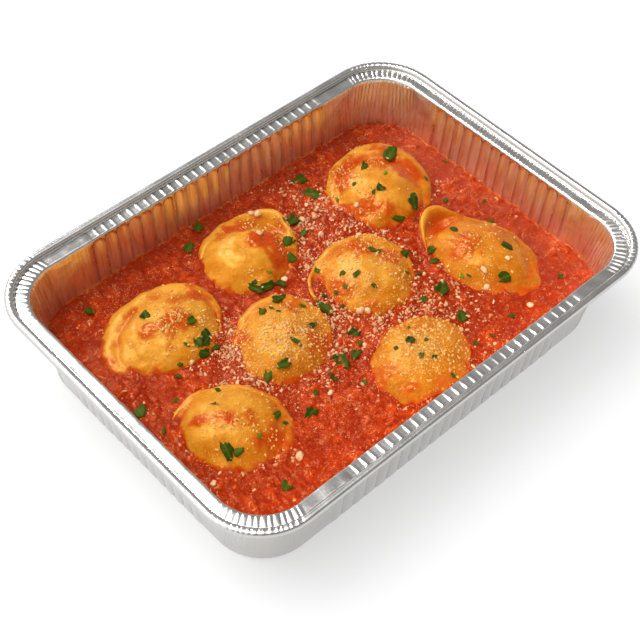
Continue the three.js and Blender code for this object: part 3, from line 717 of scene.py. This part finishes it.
def foil_rings():
    """Rings of the tray's skin, from the underside out, up, round the rim and back in."""
    rings = []

    def wall(z, outside, flute_share, inset=0.0):
        a, b, r = wall_outline(z, outside)
        rings.append(COLUMNS.point(a - inset, b - inset, r - inset, wall_push(z, flute_share), z))

    def rim(out, z, knurl_share=0.0, flute_share=0.0):
        a, b, r = rim_outline(out)
        fall = by_side(RIM_FALLS) * step(out, 0, RIM_BREADTH / 2)
        push = fluted(LIP_FLUTE) * flute_share
        rings.append(COLUMNS.point(a, b, r, push, z + knurls() * knurl_share - fall))

    def foot(outside, floor, upward, steps):
        angles = np.linspace(0, math.pi / 2, steps)
        for angle in angles if upward else angles[::-1]:
            z = floor + FOOT_ROUND * (1 - math.cos(angle))
            wall(z, outside, 0.5 * math.sin(angle), FOOT_ROUND * (1 - math.sin(angle)))

    foot(FOIL, 0, True, 5)
    for z in np.linspace(FOOT_ROUND, MOUTH_LEVEL - LIP_ROUND - 1, 8)[1:]:
        wall(z, FOIL, 1)
    for out, knurl_share in ((1.2, 0), (2.4, 1), (4.4, 0.7)):
        rim(out, MOUTH_LEVEL - FOIL, knurl_share)
    curl_out = RIM_BREADTH - CURL_RADIUS
    bend = in_corner(0.3)
    nick = CRIMP * bend * np.abs(np.sin(TAU * CRIMPS * COLUMNS.turn + np.sin(17 * COLUMNS.turn))) ** 3
    ripple = RIPPLE * bend * np.sin(TAU * RIPPLES * COLUMNS.turn)
    for bearing in np.radians(CURL_BEARINGS):
        c, s = math.cos(bearing), math.sin(bearing)
        square = (abs(c) ** CURL_SQUARE + abs(s) ** CURL_SQUARE) ** (-1 / CURL_SQUARE)
        reach = CURL_RADIUS * square
        a, b, r = rim_outline(curl_out + reach * c)
        rise = TRAY_HEIGHT - CURL_RADIUS + reach * s - np.abs(ripple) * max(s, 0) - nick * max(s, 0)
        rings.append(COLUMNS.point(a, b, r, -nick * max(c, 0), rise))
    inner_edge = curl_out - CURL_RADIUS - GROOVE
    rim(inner_edge + 0.05, MOUTH_LEVEL - 0.25)
    for share in np.linspace(0, 1, 7):
        out = inner_edge + (LIP_ROUND - inner_edge) * share
        rim(out, MOUTH_LEVEL, math.sin(math.pi * min(1, 0.15 + share * 0.75)) ** 0.6, 0.8 * share ** 4)
    for angle in np.linspace(0, math.pi / 2, 5)[1:]:
        z = MOUTH_LEVEL - LIP_ROUND * (1 - math.cos(angle))
        rim(LIP_ROUND * (1 - math.sin(angle)), z, 0.2 * math.cos(angle), 0.8 + 0.2 * math.sin(angle))
    below = MOUTH_LEVEL - LIP_ROUND - 4
    for z in (*np.linspace(MOUTH_LEVEL - LIP_ROUND, below, 9)[1:], *np.linspace(below, LEVEL - 1, 12)[1:]):
        wall(z, 0, 1)
    wall((LEVEL - 1 + FOIL + FOOT_ROUND) / 2, 0, 0.8)
    foot(0, FOIL, False, 3)
    return np.array(rings)


def foil_tray():
    rings = foil_rings()
    points = np.concatenate([rings.reshape(-1, 3), [(0, 0, 0), (0, 0, FOIL)]])
    faces = loft_faces(rings.shape[0], rings.shape[1])
    # The inner wall is filmed with oil from the sauce; the film's warm tint is partly a painted reflection of
    # the sauce.
    order = np.arange(len(rings))[:, None]
    lip = np.argmin(np.abs(rings[:, 0, 2] - MOUTH_LEVEL) + 100 * (order[:, 0] < len(rings) - INNER_ROWS))
    # It is thinnest along the cusps and in the pleats, which paints shade along them.
    thick = CUSP_SHADE_FILM + (1 - CUSP_SHADE_FILM) * np.where(COLUMNS.patch == 0, step(COLUMNS.flute(), 0, 0.7), 1)
    thick = np.where(COLUMNS.turn > 0, 1, thick)
    film = (order > lip) * np.array([
        under_arch(z, 0.8) * thick * (1 - 0.6 * np.clip(pleats(z) / PLEAT_DEPTH, 0, 1))
        for z in rings[:, 0, 2]
    ])
    film = np.concatenate([film.reshape(-1), [0, 1]])
    return make_piece("foil_tray", "tray", "foil", points, faces, foil_material(), film=film)


# ---- Sauce ----

def sauce_relief(x, y):
    """Lumps and threads of the sauce between smoother pools: their height, and how pulpy it is."""
    bend_x = x + 1.1 * noise(x, y, 4, 31)
    bend_y = y + 1.1 * noise(x, y, 4, 32)
    lumpy = 0.25 + 0.75 * step(0.5 * noise(x, y, 12, 33) + 0.6 * noise(x, y, 5, 34), -0.5, 0.35)
    lumps = np.abs(noise(bend_x, bend_y, LUMP_SIZE, 35)) ** 0.8
    small = np.abs(noise(bend_x, bend_y, SMALL_SIZE, 38)) ** 0.8
    threads = strands(bend_x, bend_y, THREAD_SIZE, 41, 10)
    height, pulp = (
        lumpy * (a * lumps + b * small + c * threads) for a, b, c in (LUMP_HEIGHTS, LUMP_PULP))
    return height, np.clip(pulp, 0, 1)


def pasta_near(x, y):
    """How near a point of the sauce lies to a raviolo's rim, 1 at it or inside it."""
    near = np.zeros(np.shape(x))
    bearings = np.linspace(-math.pi, math.pi, 181)
    for index, spec in enumerate(RAVIOLI):
        rim = raviolo_outline(spec, index, bearings)[1]
        dx, dy = x - spec["at"][0], y - spec["at"][1]
        away = np.hypot(dx, dy) - np.interp(np.arctan2(dy, dx), bearings, rim)
        near = np.maximum(near, np.exp(-np.clip(away, 0, None) / CLIMB_REACH))
    return near


def sauce_height(x, y, calm=1.0):
    """Top of the sauce and its pulpiness at a point, with its relief made lower by the share calm."""
    slow = np.sin(x * 0.17 + 1.1) * np.cos(y * 0.21 - 0.4)
    quick = np.sin(x * 0.43 + y * 0.29) * np.sin(y * 0.51 - x * 0.19 + 2)
    middle = np.exp(-(x / MOUND_REACH[0]) ** 2 - (y / MOUND_REACH[1]) ** 2)
    relief, pulp = sauce_relief(x, y)
    near = pasta_near(x, y)
    calm = calm * (1 - 0.3 * near)
    height = LEVEL - SAUCE_SINK + SLOW_SWELL * slow + QUICK_SWELL * quick + MOUND * middle
    return height + CLIMB * near + relief * calm, pulp * calm


def wall_at(side, along, turn):
    """How far out the inner wall stands at the sauce's level, at points along a side or round a corner."""
    push = wall_push(LEVEL)
    place = COLUMNS.along(*wall_outline(LEVEL, 0))
    result = np.zeros(along.shape)
    for k in range(4):
        flat = (COLUMNS.side == k) & (COLUMNS.turn == 0)
        bend = (COLUMNS.side == k) & (COLUMNS.turn > 0)
        on_side = (side == k) & (turn == 0)
        on_bend = (side == k) & (turn > 0)
        result[on_side] = np.interp(along[on_side], place[flat], push[flat])
        result[on_bend] = np.interp(turn[on_bend], COLUMNS.turn[bend], push[bend])
    return result


def sauce_top():
    """The grid of the sauce's top, fitted to the fluted wall: points and pulpiness, which holds a painted
    highlight along the wall.
    """
    a, b, _ = wall_outline(LEVEL, 0)
    r = SAUCE_CORNER
    x, y = np.meshgrid(np.linspace(-a, a, SAUCE_ACROSS + 1), np.linspace(-b, b, SAUCE_ALONG + 1))
    p, q = (np.abs(x) - a + r) / r, (np.abs(y) - b + r) / r
    corner = (p > 0) & (q > 0)
    round_x = np.where(corner, np.sign(x) * (a - r + r * p * np.sqrt(np.clip(1 - q * q / 2, 0, 1))), x)
    round_y = np.where(corner, np.sign(y) * (b - r + r * q * np.sqrt(np.clip(1 - p * p / 2, 0, 1))), y)
    # Distance inside the plain wall, and the way out to it.
    over_x, over_y = np.abs(round_x) - a + r, np.abs(round_y) - b + r
    reach = np.hypot(over_x, over_y)
    inside = np.where(corner, r - reach, np.minimum(a - np.abs(round_x), b - np.abs(round_y)))
    on_short = (a - np.abs(round_x)) < (b - np.abs(round_y))
    out_x = np.where(corner, over_x / np.maximum(reach, 1e-6), on_short) * np.sign(round_x)
    out_y = np.where(corner, over_y / np.maximum(reach, 1e-6), ~on_short) * np.sign(round_y)
    side = np.where(on_short, np.where(x > 0, 0, 2), np.where(y > 0, 1, 3))
    quarters = [(x > 0) & (y > 0), (x < 0) & (y > 0), (x < 0) & (y < 0)]
    side = np.where(corner, np.select(quarters, [0, 1, 2], 3), side)
    along = np.select([side == 0, side == 1, side == 2], [round_y, -round_x, -round_y], round_x)
    bearing = np.arctan2(over_y * np.sign(round_y), over_x * np.sign(round_x)) / (math.pi / 2)
    turn = np.where(corner, np.clip((bearing - side) % 4, 1e-6, 1), 0)
    push = wall_at(side, along, turn) + INTO_WALL
    pull = push * np.clip(1 - inside / 6, 0, 1)
    x, y = round_x + out_x * pull, round_y + out_y * pull
    # Near the wall the relief and the pulp are lower, so the sauce is darker there: painted shade by the
    # wall.
    z, pulp = sauce_height(x, y, 0.55 + 0.45 * step(inside, 0.5, CALM_REACH))
    # The bead along the wall also raises the pulpiness into a salmon line: a painted highlight on the
    # meniscus.
    bead = np.exp(-(np.clip(inside, 0, None) / MENISCUS_REACH) ** 1.5)
    return np.stack([x, y, z + MENISCUS * bead], axis=-1), np.maximum(pulp, 1.5 * bead)


def tomato_sauce():
    top, pulp = sauce_top()
    rows, columns = top.shape[:2]
    index = np.arange(rows * columns).reshape(rows, columns)
    edge = np.concatenate([index[0, :-1], index[:-1, -1], index[-1, :0:-1], index[:0:-1, 0]])
    quads = np.stack([index[:-1, :-1], index[:-1, 1:], index[1:, 1:], index[1:, :-1]], axis=-1).reshape(-1, 4)
    flat = top.reshape(-1, 3)
    low_level = FOIL + 0.2
    a, _, _ = wall_outline(LEVEL, 0)
    low_a, _, _ = wall_outline(low_level, 0)
    low = flat[edge].copy()
    low[:, :2] *= (low_a - FOOT_ROUND) / a
    low[:, 2] = low_level
    points = np.concatenate([flat, low, [(0, 0, low_level)]])
    count, first = len(edge), len(flat)
    faces = quads.tolist()
    for k in range(count):
        n = (k + 1) % count
        faces.append((first + k, first + n, int(edge[n]), int(edge[k])))
        faces.append((first + count, first + n, first + k))
    values = np.concatenate([pulp.reshape(-1), np.zeros(count + 1)])
    return make_piece("tomato_sauce_bed", "sauce", "tomato_sauce", points, faces, sauce_material(),
                      pulp=values)


# ---- Ravioli ----

def ellipse_reach(angle, a, b, x=0.0, y=0.0):
    """How far an ellipse reaches from the origin along a bearing: half sizes a and b, middle at (x, y)."""
    c, s = np.cos(angle), np.sin(angle)
    square = (c / a) ** 2 + (s / b) ** 2
    slope = c * x / a ** 2 + s * y / b ** 2
    rest = (x / a) ** 2 + (y / b) ** 2 - 1
    return (slope + np.sqrt(slope ** 2 - square * rest)) / square


def bump_at(angle, bearing, spread):
    """1 at a bearing in degrees, falling off to its sides."""
    away = (np.degrees(angle) - bearing + 180) % 360 - 180
    return np.exp(-(away / spread) ** 2)


def raviolo_outline(spec, index, angle):
    """Dome radius, rim radius, lift of the rim's edge and share of its roll at each bearing."""
    turn = math.radians(spec["turn"])
    offset = turned(*np.subtract(spec["rim_at"], spec["at"]), spec["turn"])
    uneven = (1 + 0.02 * np.sin(2 * angle + index) + 0.015 * np.sin(3 * angle + 2.1 * index)
              + 0.01 * np.sin(5 * angle + 3.7 * index))
    dome = ellipse_reach(angle - turn, *spec["dome"]) * uneven
    rim = ellipse_reach(angle - turn, *spec["rim"], *offset)
    lift, roll = np.zeros(angle.shape), np.ones(angle.shape)
    for bearing, spread, height, reach in spec["frills"]:
        share = bump_at(angle, bearing, spread)
        lift += height * share
        rim += reach * share
        roll -= FRILL_FLAT * share
    return dome, np.maximum(rim, dome + NARROWEST_RIM), lift, roll


def smear_share(spec, index, x, y):
    """How thickly sauce lies on a raviolo at points from its middle, 0 to 1."""
    ragged = 0.55 * noise(x, y, 5, 50 + index) + 0.45 * noise(x, y, 2, 60 + index)
    total = np.zeros(np.shape(x))
    for sx, sy, a, b, bearing, strength in spec["smears"]:
        along, across = turned(x - sx, y - sy, bearing)
        share = strength * step(1.5 - np.hypot(along / a, across / b) + 0.8 * ragged, 0, 1.3)
        total = np.maximum(total, share)
    return total


def raviolo_rings(spec, index):
    """Rings of a raviolo from underneath out and up to its top, its end points and the folds in its rings."""
    angle = np.linspace(0, TAU, RAVIOLO_COLUMNS, endpoint=False)
    dome, rim, lift, rolled = raviolo_outline(spec, index, angle)
    dome_height = LEVEL + spec["rise"] - RIM_LEVEL - SHEET / 2
    width = rim - dome
    wide = (1 - np.exp(-width / ROLL_WIDTH)) * rolled
    crease = sum(depth * bump_at(angle, bearing, spread) for bearing, spread, depth in spec["creases"])
    rings, folds = [], []

    def ring(radius, z, fold=0.0):
        level = np.broadcast_to(z, angle.shape)
        rings.append(np.stack([radius * np.cos(angle), radius * np.sin(angle), level], -1))
        folds.append(np.broadcast_to(fold, angle.shape))

    def top(radius, out, share):
        """Height and folds of the upper face: share is 1 at the dome's foot, out is 1 at the edge."""
        wave = 0.35 * out * noise(rim * np.cos(angle), rim * np.sin(angle), 7, 70 + index)
        roll = ROLL * wide
        fold = crease * wide * np.exp(-((radius - dome) / CREASE_WIDTH) ** 2)
        hollow = (1 - rolled) * step(share, 0.8, 1) * (1 - step(out, 0.4, FRILL_TOP))
        over = (1 - share ** PILLOW) ** (STEEP + (GENTLE - STEEP) * wide)
        frill = lift * step(out, FRILL_START, FRILL_TOP)
        height = (RIM_LEVEL + SHEET / 2 + frill + wave + roll * (1 - out ** ROLL_CURVE) ** ROLL_FALL
                  + (dome_height - roll) * over - fold)
        return height, fold + hollow

    for share in (np.arange(1, UNDER_STEPS + 1) / UNDER_STEPS) ** 0.7:
        ring(share * dome, RIM_LEVEL - SHEET / 2 - (1 - share ** PILLOW) * UNDER_DEPTH)
    edge, _ = top(rim, 1.0, 1.0)
    for out in (0.5, 0.97):
        ring(dome + width * out, edge - SHEET - (1 - out) * lift)
    for bearing in (-0.9, 0.0):
        ring(rim - 0.25 * abs(bearing), edge - SHEET / 2 + bearing * SHEET / 2 * 0.75)
    under = len(rings)
    for out in RIM_SHARES:
        ring(dome + width * out - 0.3 * out ** 40, *top(dome + width * out, out, 1.0))
    for t in np.linspace(1, 0, DOME_STEPS + 1)[1:-1]:
        share = 1 - (1 - t) ** 1.4
        ring(share * dome, *top(share * dome, 0.0, share))
    rings = np.array(rings)
    top_point = np.array([[[0.0, 0.0, RIM_LEVEL + SHEET / 2 + dome_height]]])
    bottom_point = np.array([[[0.0, 0.0, RIM_LEVEL - SHEET / 2 - UNDER_DEPTH]]])
    return rings, bottom_point, top_point, under, np.array(folds)


def finish_raviolo(points, spec, index, top_side, fold):
    """Bumps, dents, smears and lean for points from the dome's middle: them placed, and their shares."""
    x, y, z = points[..., 0], points[..., 1], points[..., 2]
    away = np.hypot(x, y)
    over = (z - RIM_LEVEL - SHEET / 2) / (LEVEL + spec["rise"] - RIM_LEVEL - SHEET / 2)
    bumps = 0.65 * noise(x, y + z, 8.5, 78 + index) + 0.35 * noise(x, y + z, 4.5, 80 + index)
    bumps = bumps + 0.16 * noise(x + z, y, 2.4, 90 + index) + 0.07 * noise(x, y + z, 1.1, 95)
    for dx, dy, radius, depth in spec["dents"]:
        bumps = bumps - depth * np.exp(-((x - dx) ** 2 + (y - dy) ** 2) / radius ** 2)
    smear = smear_share(spec, index, x, y) * top_side
    lump, tall = pebbles(x, y, PEBBLE, 100 + index)
    thick = smear * (0.1 + 0.4 * np.clip(1 - (lump / 0.6) ** 2, 0, 1) * tall + 0.2 * strands(x, y, 2, 110, 5))
    push = (bumps + thick) * top_side
    steep = 1.3 * step(1 - over, 0.1, 0.9) * step(away, 6, 15)
    length = np.sqrt(1 + steep ** 2)
    outward = push * steep / length / np.maximum(away, 1e-6)
    lean = spec["lean"] * (x + y) * math.cos(math.radians(LEAN_BEARING))
    placed = np.stack([
        spec["at"][0] + x + x * outward,
        spec["at"][1] + y + y * outward,
        z + push / length + lean,
    ], axis=-1)
    level, _ = sauce_height(placed[..., 0], placed[..., 1])
    above = placed[..., 2] - level
    reach = 1.3 + 0.8 * noise(placed[..., 0], placed[..., 1], 3, 120) + 0.5 * noise(x, y, 1.3, 121)
    film = step(reach - above, 0, 1.4)
    pooled = np.clip(1.3 * fold, 0, 1) * step(noise(x, y, 6, 130 + index), -0.8, 0.2)
    sauce = np.maximum(np.maximum(smear, film), pooled)
    # Painted light and shade: the pasta is paler higher up and towards the lit side, and darker in its folds.
    toward_lit_side, _ = turned(x, y, LIT_BEARING)
    height = np.clip(0.36 + spec["pale"] + 0.5 * over + LIT_PALER * toward_lit_side - 0.5 * fold, 0, 1)
    return placed, sauce, height


def raviolo(spec, index, material):
    rings, bottom, top, under, folds = raviolo_rings(spec, index)
    side = np.ones(rings.shape[:2])
    side[:under] = 0
    parts = ((rings, side, folds), (bottom, 0.0, 0.0), (top, 1.0, 0.0))
    finished = [finish_raviolo(part, spec, index, top_side, fold) for part, top_side, fold in parts]
    points, sauce, height = (
        np.concatenate([values.reshape(-1, *shape) for values in kind])
        for kind, shape in zip(zip(*finished), ((3,), (), ())))
    faces = loft_faces(rings.shape[0], rings.shape[1])
    return make_piece(f"raviolo_{index + 1}", f"ravioli_{index + 1}", "pasta", points, faces, material,
                      sauce=sauce, height=height)


# ---- Toppings ----

def camera_axes():
    """Right, up and forward of the camera."""
    forward = (Vector(CAMERA_AIM) - Vector(CAMERA_AT)).normalized()
    level_right = forward.cross(Vector((0, 0, 1))).normalized()
    level_up = level_right.cross(forward)
    return *turned(level_right, level_up, CAMERA_ROLL), forward


def lands(start, way):
    """Where a line meets the food, in millimetres, with the surface's direction there."""
    depsgraph = bpy.context.evaluated_depsgraph_get()
    hit, point, normal, _, found, _ = bpy.context.scene.ray_cast(depsgraph, Vector(start) * MM, Vector(way))
    if not hit or found.name == "foil_tray":
        return None
    return np.array(point) / MM, np.array(normal), found.name


def seen_at(x, y):
    """The food's surface where the camera sees the point (x, y) of the level plane at LEAF_PLANE."""
    return lands(CAMERA_AT, (Vector((x, y, LEAF_PLANE)) - Vector(CAMERA_AT)).normalized())


def dropped_at(x, y):
    """The food's surface straight below a point."""
    return lands((x, y, 2 * TRAY_HEIGHT), (0, 0, -1))


def turn_to(normal, bearing):
    """Axes that lie on a surface, turned by a bearing: columns along, across and up."""
    up = normal / np.linalg.norm(normal)
    along = np.array([math.cos(bearing), math.sin(bearing), 0.0])
    along -= up * along.dot(up)
    along /= np.linalg.norm(along)
    return np.stack([along, np.cross(up, along), up], axis=1)


def leaf_points(length, width, random):
    """A chopped, creased and curled bit of leaf round the origin: its points and their vein shares."""
    angle = np.linspace(0, TAU, LEAF_POINTS, endpoint=False)
    cuts = random.integers(3, 6)
    wedge = (angle + random.uniform(0, TAU)) % (TAU / cuts) - math.pi / cuts
    cut = math.cos(math.pi / cuts) / np.cos(wedge)
    lobes = 0.12 + 0.16 * min(1, length / 8)
    leafy = 1 + lobes * np.cos(random.integers(3, 6) * angle + random.uniform(0, TAU))
    leafy = leafy + 0.1 * np.cos(9 * angle + cuts)
    outline = (0.55 * cut / cut.mean() + 0.45 * leafy) * (1 + random.uniform(-0.09, 0.09, LEAF_POINTS))
    curl = random.uniform(-0.08, 0.12)
    crease = random.uniform(0, 0.3)
    wave = random.uniform(0.03, 0.12) * width
    phase = random.uniform(0, TAU)
    rings, veins = [], []
    for side in (-1, 1):
        for share in LEAF_RINGS if side > 0 else LEAF_RINGS[::-1]:
            x = share * outline * np.cos(angle) * length / 2 * LEAF_SHRINK
            y = share * outline * np.sin(angle) * width / 2 * LEAF_SHRINK
            waves = wave * np.sin(5 * x / length + 4 * y / width + phase)
            z = curl * x * x / length * 2 + crease * np.abs(y) + waves
            z = z + side * LEAF_THICKNESS / 2 * (0.35 if share == 1 else 1)
            rings.append(np.stack([x, y, z], axis=-1))
            veins.append(np.exp(-(y / (0.07 * width)) ** 2))
    middle = wave * math.sin(phase)
    ends = [(0, 0, -LEAF_THICKNESS / 2 + middle), (0, 0, LEAF_THICKNESS / 2 + middle)]
    points = np.concatenate([np.concatenate(rings), ends])
    return points, np.concatenate([np.concatenate(veins), [1, 1]])


def parsley():
    """Strew the leaves, and return the place and reach of each."""
    random = np.random.default_rng(LEAF_SEED)
    leaves = [(*leaf, 0.0) for leaf in LEAVES]
    for x, y in BITS:
        length = random.uniform(*BIT_LENGTHS)
        pale = 0.5 if (x, y) in LIGHT_GREEN else 0.0
        leaves.append((x, y, length, length * random.uniform(0.35, 0.85), random.uniform(0, 180), pale))
    points, tones, veins, covered = [], [], [], []
    for x, y, length, width, bearing, pale in leaves:
        found = seen_at(x, y)
        if found is None:
            continue
        place, normal, _ = found
        leaf, vein = leaf_points(length, width, random)
        axes = turn_to(normal + np.array([0, 0, 0.6]), math.radians(bearing))
        lowest = np.percentile(leaf[:, 2], 20)
        points.append(place + (leaf - (0, 0, lowest)) @ axes.T + axes[:, 2] * LEAF_LIFT)
        veins.append(vein)
        tones.append(np.full(len(leaf), 0.22 + pale + random.uniform(-0.12, 0.25)))
        covered.append((*place[:2], 0.42 * width + 0.08 * length))
    faces = copied_faces(loft_faces(2 * len(LEAF_RINGS), LEAF_POINTS), len(points[0]), len(points))
    make_piece("chopped_parsley", None, "parsley", np.concatenate(points), faces, parsley_material(),
               tone=np.concatenate(tones), vein=np.concatenate(veins))
    return np.array(covered)


def icosahedron():
    """Corners and faces of an icosahedron of radius 1."""
    golden = (1 + math.sqrt(5)) / 2
    corners = []
    for a in (-1, 1):
        for b in (-golden, golden):
            corners += [(0, a, b), (a, b, 0), (b, 0, a)]
    corners = np.array(corners) / math.hypot(1, golden)
    edge = 2 / math.hypot(1, golden) * 1.01
    near = np.linalg.norm(corners[:, None] - corners[None], axis=-1) < edge
    faces = []
    for i in range(12):
        for j in range(i + 1, 12):
            for k in range(j + 1, 12):
                if near[i, j] and near[j, k] and near[i, k]:
                    flip = np.cross(corners[j] - corners[i], corners[k] - corners[i]).dot(corners[i]) < 0
                    faces.append((i, k, j) if flip else (i, j, k))
    return corners, faces


def rotations(random, count):
    """Random rotation matrices."""
    q = random.normal(size=(count, 4))
    q /= np.linalg.norm(q, axis=1)[:, None]
    w, x, y, z = q.T
    return np.stack([
        1 - 2 * (y * y + z * z), 2 * (x * y - z * w), 2 * (x * z + y * w),
        2 * (x * y + z * w), 1 - 2 * (x * x + z * z), 2 * (y * z - x * w),
        2 * (x * z - y * w), 2 * (y * z + x * w), 1 - 2 * (x * x + y * y),
    ], axis=-1).reshape(count, 3, 3)


def octahedron():
    """Corners and faces of an octahedron of radius 1."""
    corners = np.concatenate([np.eye(3), -np.eye(3)])
    faces = [(0, 1, 2), (1, 3, 2), (3, 4, 2), (4, 0, 2), (1, 0, 5), (3, 1, 5), (4, 3, 5), (0, 4, 5)]
    return corners, faces


def strewn_cheese(name, amount, lengths, solid, seed, material, covered):
    """Cheese in pinches, but for what the parsley covers."""
    random = np.random.default_rng(seed)
    places, sizes, on_pasta = [], [], []
    low, high = lengths
    for x, y, spread_x, spread_y, share in STREWN:
        left = int(amount * share)
        while left > 0:
            # A pinch of it falls together.
            middle = (x + spread_x * random.normal(), y + spread_y * random.normal())
            pinch = min(left, int(random.pareto(1.1) * 2) + 1)
            left -= pinch
            for _ in range(pinch):
                spot = middle + PINCH_SPREAD * pinch ** 0.5 * random.normal(size=2)
                found = dropped_at(*spot)
                if found is None or np.any(np.hypot(*(covered[:, :2] - spot).T) < covered[:, 2]):
                    continue
                places.append(found[0])
                on_pasta.append(found[2].startswith("raviolo"))
                size = low + (high - low) * random.random() ** 3
                sizes.append(size * (PASTA_GRAIN if on_pasta[-1] else 1))
    places, sizes, on_pasta = np.array(places), np.array(sizes), np.array(on_pasta)
    count = len(places)
    corners, shape = solid
    width = random.uniform(0.5, 0.9, count)
    thickness = random.uniform(0.35, 0.7, count)
    stretch = np.stack([np.ones(count), width, thickness], axis=-1)
    grains = corners[None] * (1 + random.uniform(-0.35, 0.3, (count, len(corners), 1)))
    grains = grains * (sizes[:, None] * stretch / 2)[:, None, :]
    grains = np.einsum("nij,nkj->nki", rotations(random, count), grains)
    points = grains + places[:, None, :] + np.array([0, 0, 1]) * (sizes[:, None, None] * 0.05)
    faces = copied_faces(shape, len(corners), count)
    tone = np.clip(random.normal(0.27, 0.13, count), 0, 0.45) + 0.55 * on_pasta
    return make_piece(name, None, "cheese", points.reshape(-1, 3), faces, material,
                      smooth=False, tone=np.repeat(tone, len(corners)))


def cheese_crumbs(material):
    """The larger crumbs, knobbly lumps."""
    random = np.random.default_rng(CRUMB_SEED)
    ball = bpy.data.meshes.new("ball")
    shape = bmesh.new()
    bmesh.ops.create_icosphere(shape, subdivisions=3, radius=1)
    shape.to_mesh(ball)
    shape.free()
    corners = np.array([v.co for v in ball.vertices])
    facets = [tuple(p.vertices) for p in ball.polygons]
    bpy.data.meshes.remove(ball)
    points, tones = [], []
    for x, y, length in CRUMBS:
        found = seen_at(x, y)
        if found is None:
            continue
        place, normal, _ = found
        shift = random.uniform(0, 50)
        u, v = corners[:, 0] * 1.3 + shift, corners[:, 1] * 1.3 + corners[:, 2] * 0.9
        knobs = 1 + 0.28 * noise(u, v, 0.8, 7) + 0.16 * noise(u + corners[:, 2], v, 0.35, 9)
        half = length / 2
        lump = corners * knobs[:, None] * (half, half * random.uniform(0.65, 0.95), half * 0.55)
        axes = turn_to(normal, random.uniform(0, math.pi))
        points.append(place + (lump + (0, 0, length * 0.12)) @ axes.T)
        tones.append(np.full(len(corners), random.uniform(0.3, 0.45)))
    faces = copied_faces(facets, len(corners), len(points))
    return make_piece("cheese_crumbs", None, "cheese", np.concatenate(points), faces, material,
                      tone=np.concatenate(tones))


# ---- Studio ----

# The floor's glow is painted light that lifts the shadows on it.
FLOOR_COLOUR, FLOOR_GLOW = (0.46, 0.46, 0.46, 1), 0.47
LAMP_AT = (-0.735, 0.412, 0.539)
FLOOR_HALF = 3000
# Name, the way to it, strength, and breadth in degrees.
SOFT_LAMPS = [("key", (-0.3, 0.6, 0.95), 1.15, 45), ("ceiling", (0, 0.15, 1), 0.55, 100)]
# Seen as glints in what is wet.
WINDOWS = [(0.128, 0.771, 0.624), (-0.214, 0.45, 0.868), (-0.05, 0.25, 0.967)]
WINDOW_STRENGTH, WINDOW_SPREAD = 1.8, 9


def floor():
    corners = [(x * FLOOR_HALF, y * FLOOR_HALF, 0) for x, y in ((-1, -1), (1, -1), (1, 1), (-1, 1))]
    plane = make_mesh("floor", corners, [(0, 1, 2, 3)], floor_material())


def floor_material():
    """A pale floor that glows a little: painted light that lifts the tray's shadow on it."""
    material, n = new_material("pale_floor")
    n.surface(Base_Color=FLOOR_COLOUR, Roughness=0.9, Emission_Color=(1, 1, 1, 1),
              Emission_Strength=FLOOR_GLOW)
    return material


def sun(name, toward, strength, spread, glints):
    """A lamp: where it shines from, its strength, its breadth in degrees, and if it gives glints or light."""
    lamp = bpy.data.lights.new(name, "SUN")
    lamp.energy = strength
    lamp.angle = math.radians(spread)
    made = bpy.data.objects.new(name, lamp)
    made.rotation_mode = "QUATERNION"
    made.rotation_quaternion = Vector(toward).to_track_quat("Z", "Y")
    made.visible_diffuse = not glints
    made.visible_glossy = glints
    bpy.context.scene.collection.objects.link(made)


def sky():
    """A plain pale room, brightest overhead and brighter towards LAMP_AT."""
    world = bpy.data.worlds.new("studio")
    bpy.context.scene.world = world
    n = Nodes(world)
    way = n.add("ShaderNodeTexCoord").outputs["Generated"]
    height = n.add("ShaderNodeSeparateXYZ", Vector=way).outputs["Z"]
    toward = n.add("ShaderNodeVectorMath", {"operation": "DOT_PRODUCT"}, _0=way, _1=LAMP_AT)
    overhead = n.plus(n.span(height, 0, 0.6, 0.6, 0.32), n.span(height, 0.86, 1, 0, 1.9))
    strength = n.plus(overhead, n.span(toward.outputs["Value"], 0.5, 0.9, 0, 1.1))
    back = n.add("ShaderNodeBackground", Color=(1, 1, 1, 1), Strength=strength)
    n.tree.links.new(back.outputs[0], n.add("ShaderNodeOutputWorld").inputs[0])


def camera():
    right, up, forward = camera_axes()
    data = bpy.data.cameras.new("camera")
    data.sensor_width = SENSOR
    data.lens = FOCAL_PIXELS / PICTURE * SENSOR
    data.clip_end = 20
    made = bpy.data.objects.new("camera", data)
    facing = Matrix((right, up, -forward)).transposed().to_4x4()
    made.matrix_world = Matrix.Translation(Vector(CAMERA_AT) * MM) @ facing
    bpy.context.scene.collection.objects.link(made)
    bpy.context.scene.camera = made


def studio():
    floor()
    sky()
    for lamp in SOFT_LAMPS:
        sun(*lamp, False)
    for index, toward in enumerate(WINDOWS):
        sun(f"window_{index + 1}", toward, WINDOW_STRENGTH, WINDOW_SPREAD, True)
    camera()
    bpy.context.scene.view_settings.view_transform = "Standard"


def dish():
    foil_tray()
    tomato_sauce()
    pasta = pasta_material()
    for index, spec in enumerate(RAVIOLI):
        raviolo(spec, index, pasta)
    covered = parsley()
    cheese = cheese_material()
    strewn_cheese("cheese_dust", DUST, DUST_LENGTHS, octahedron(), DUST_SEED, cheese, covered)
    strewn_cheese("cheese_grains", GRAINS, GRAIN_LENGTHS, icosahedron(), GRAIN_SEED, cheese, covered)
    cheese_crumbs(cheese)


dish()
studio()
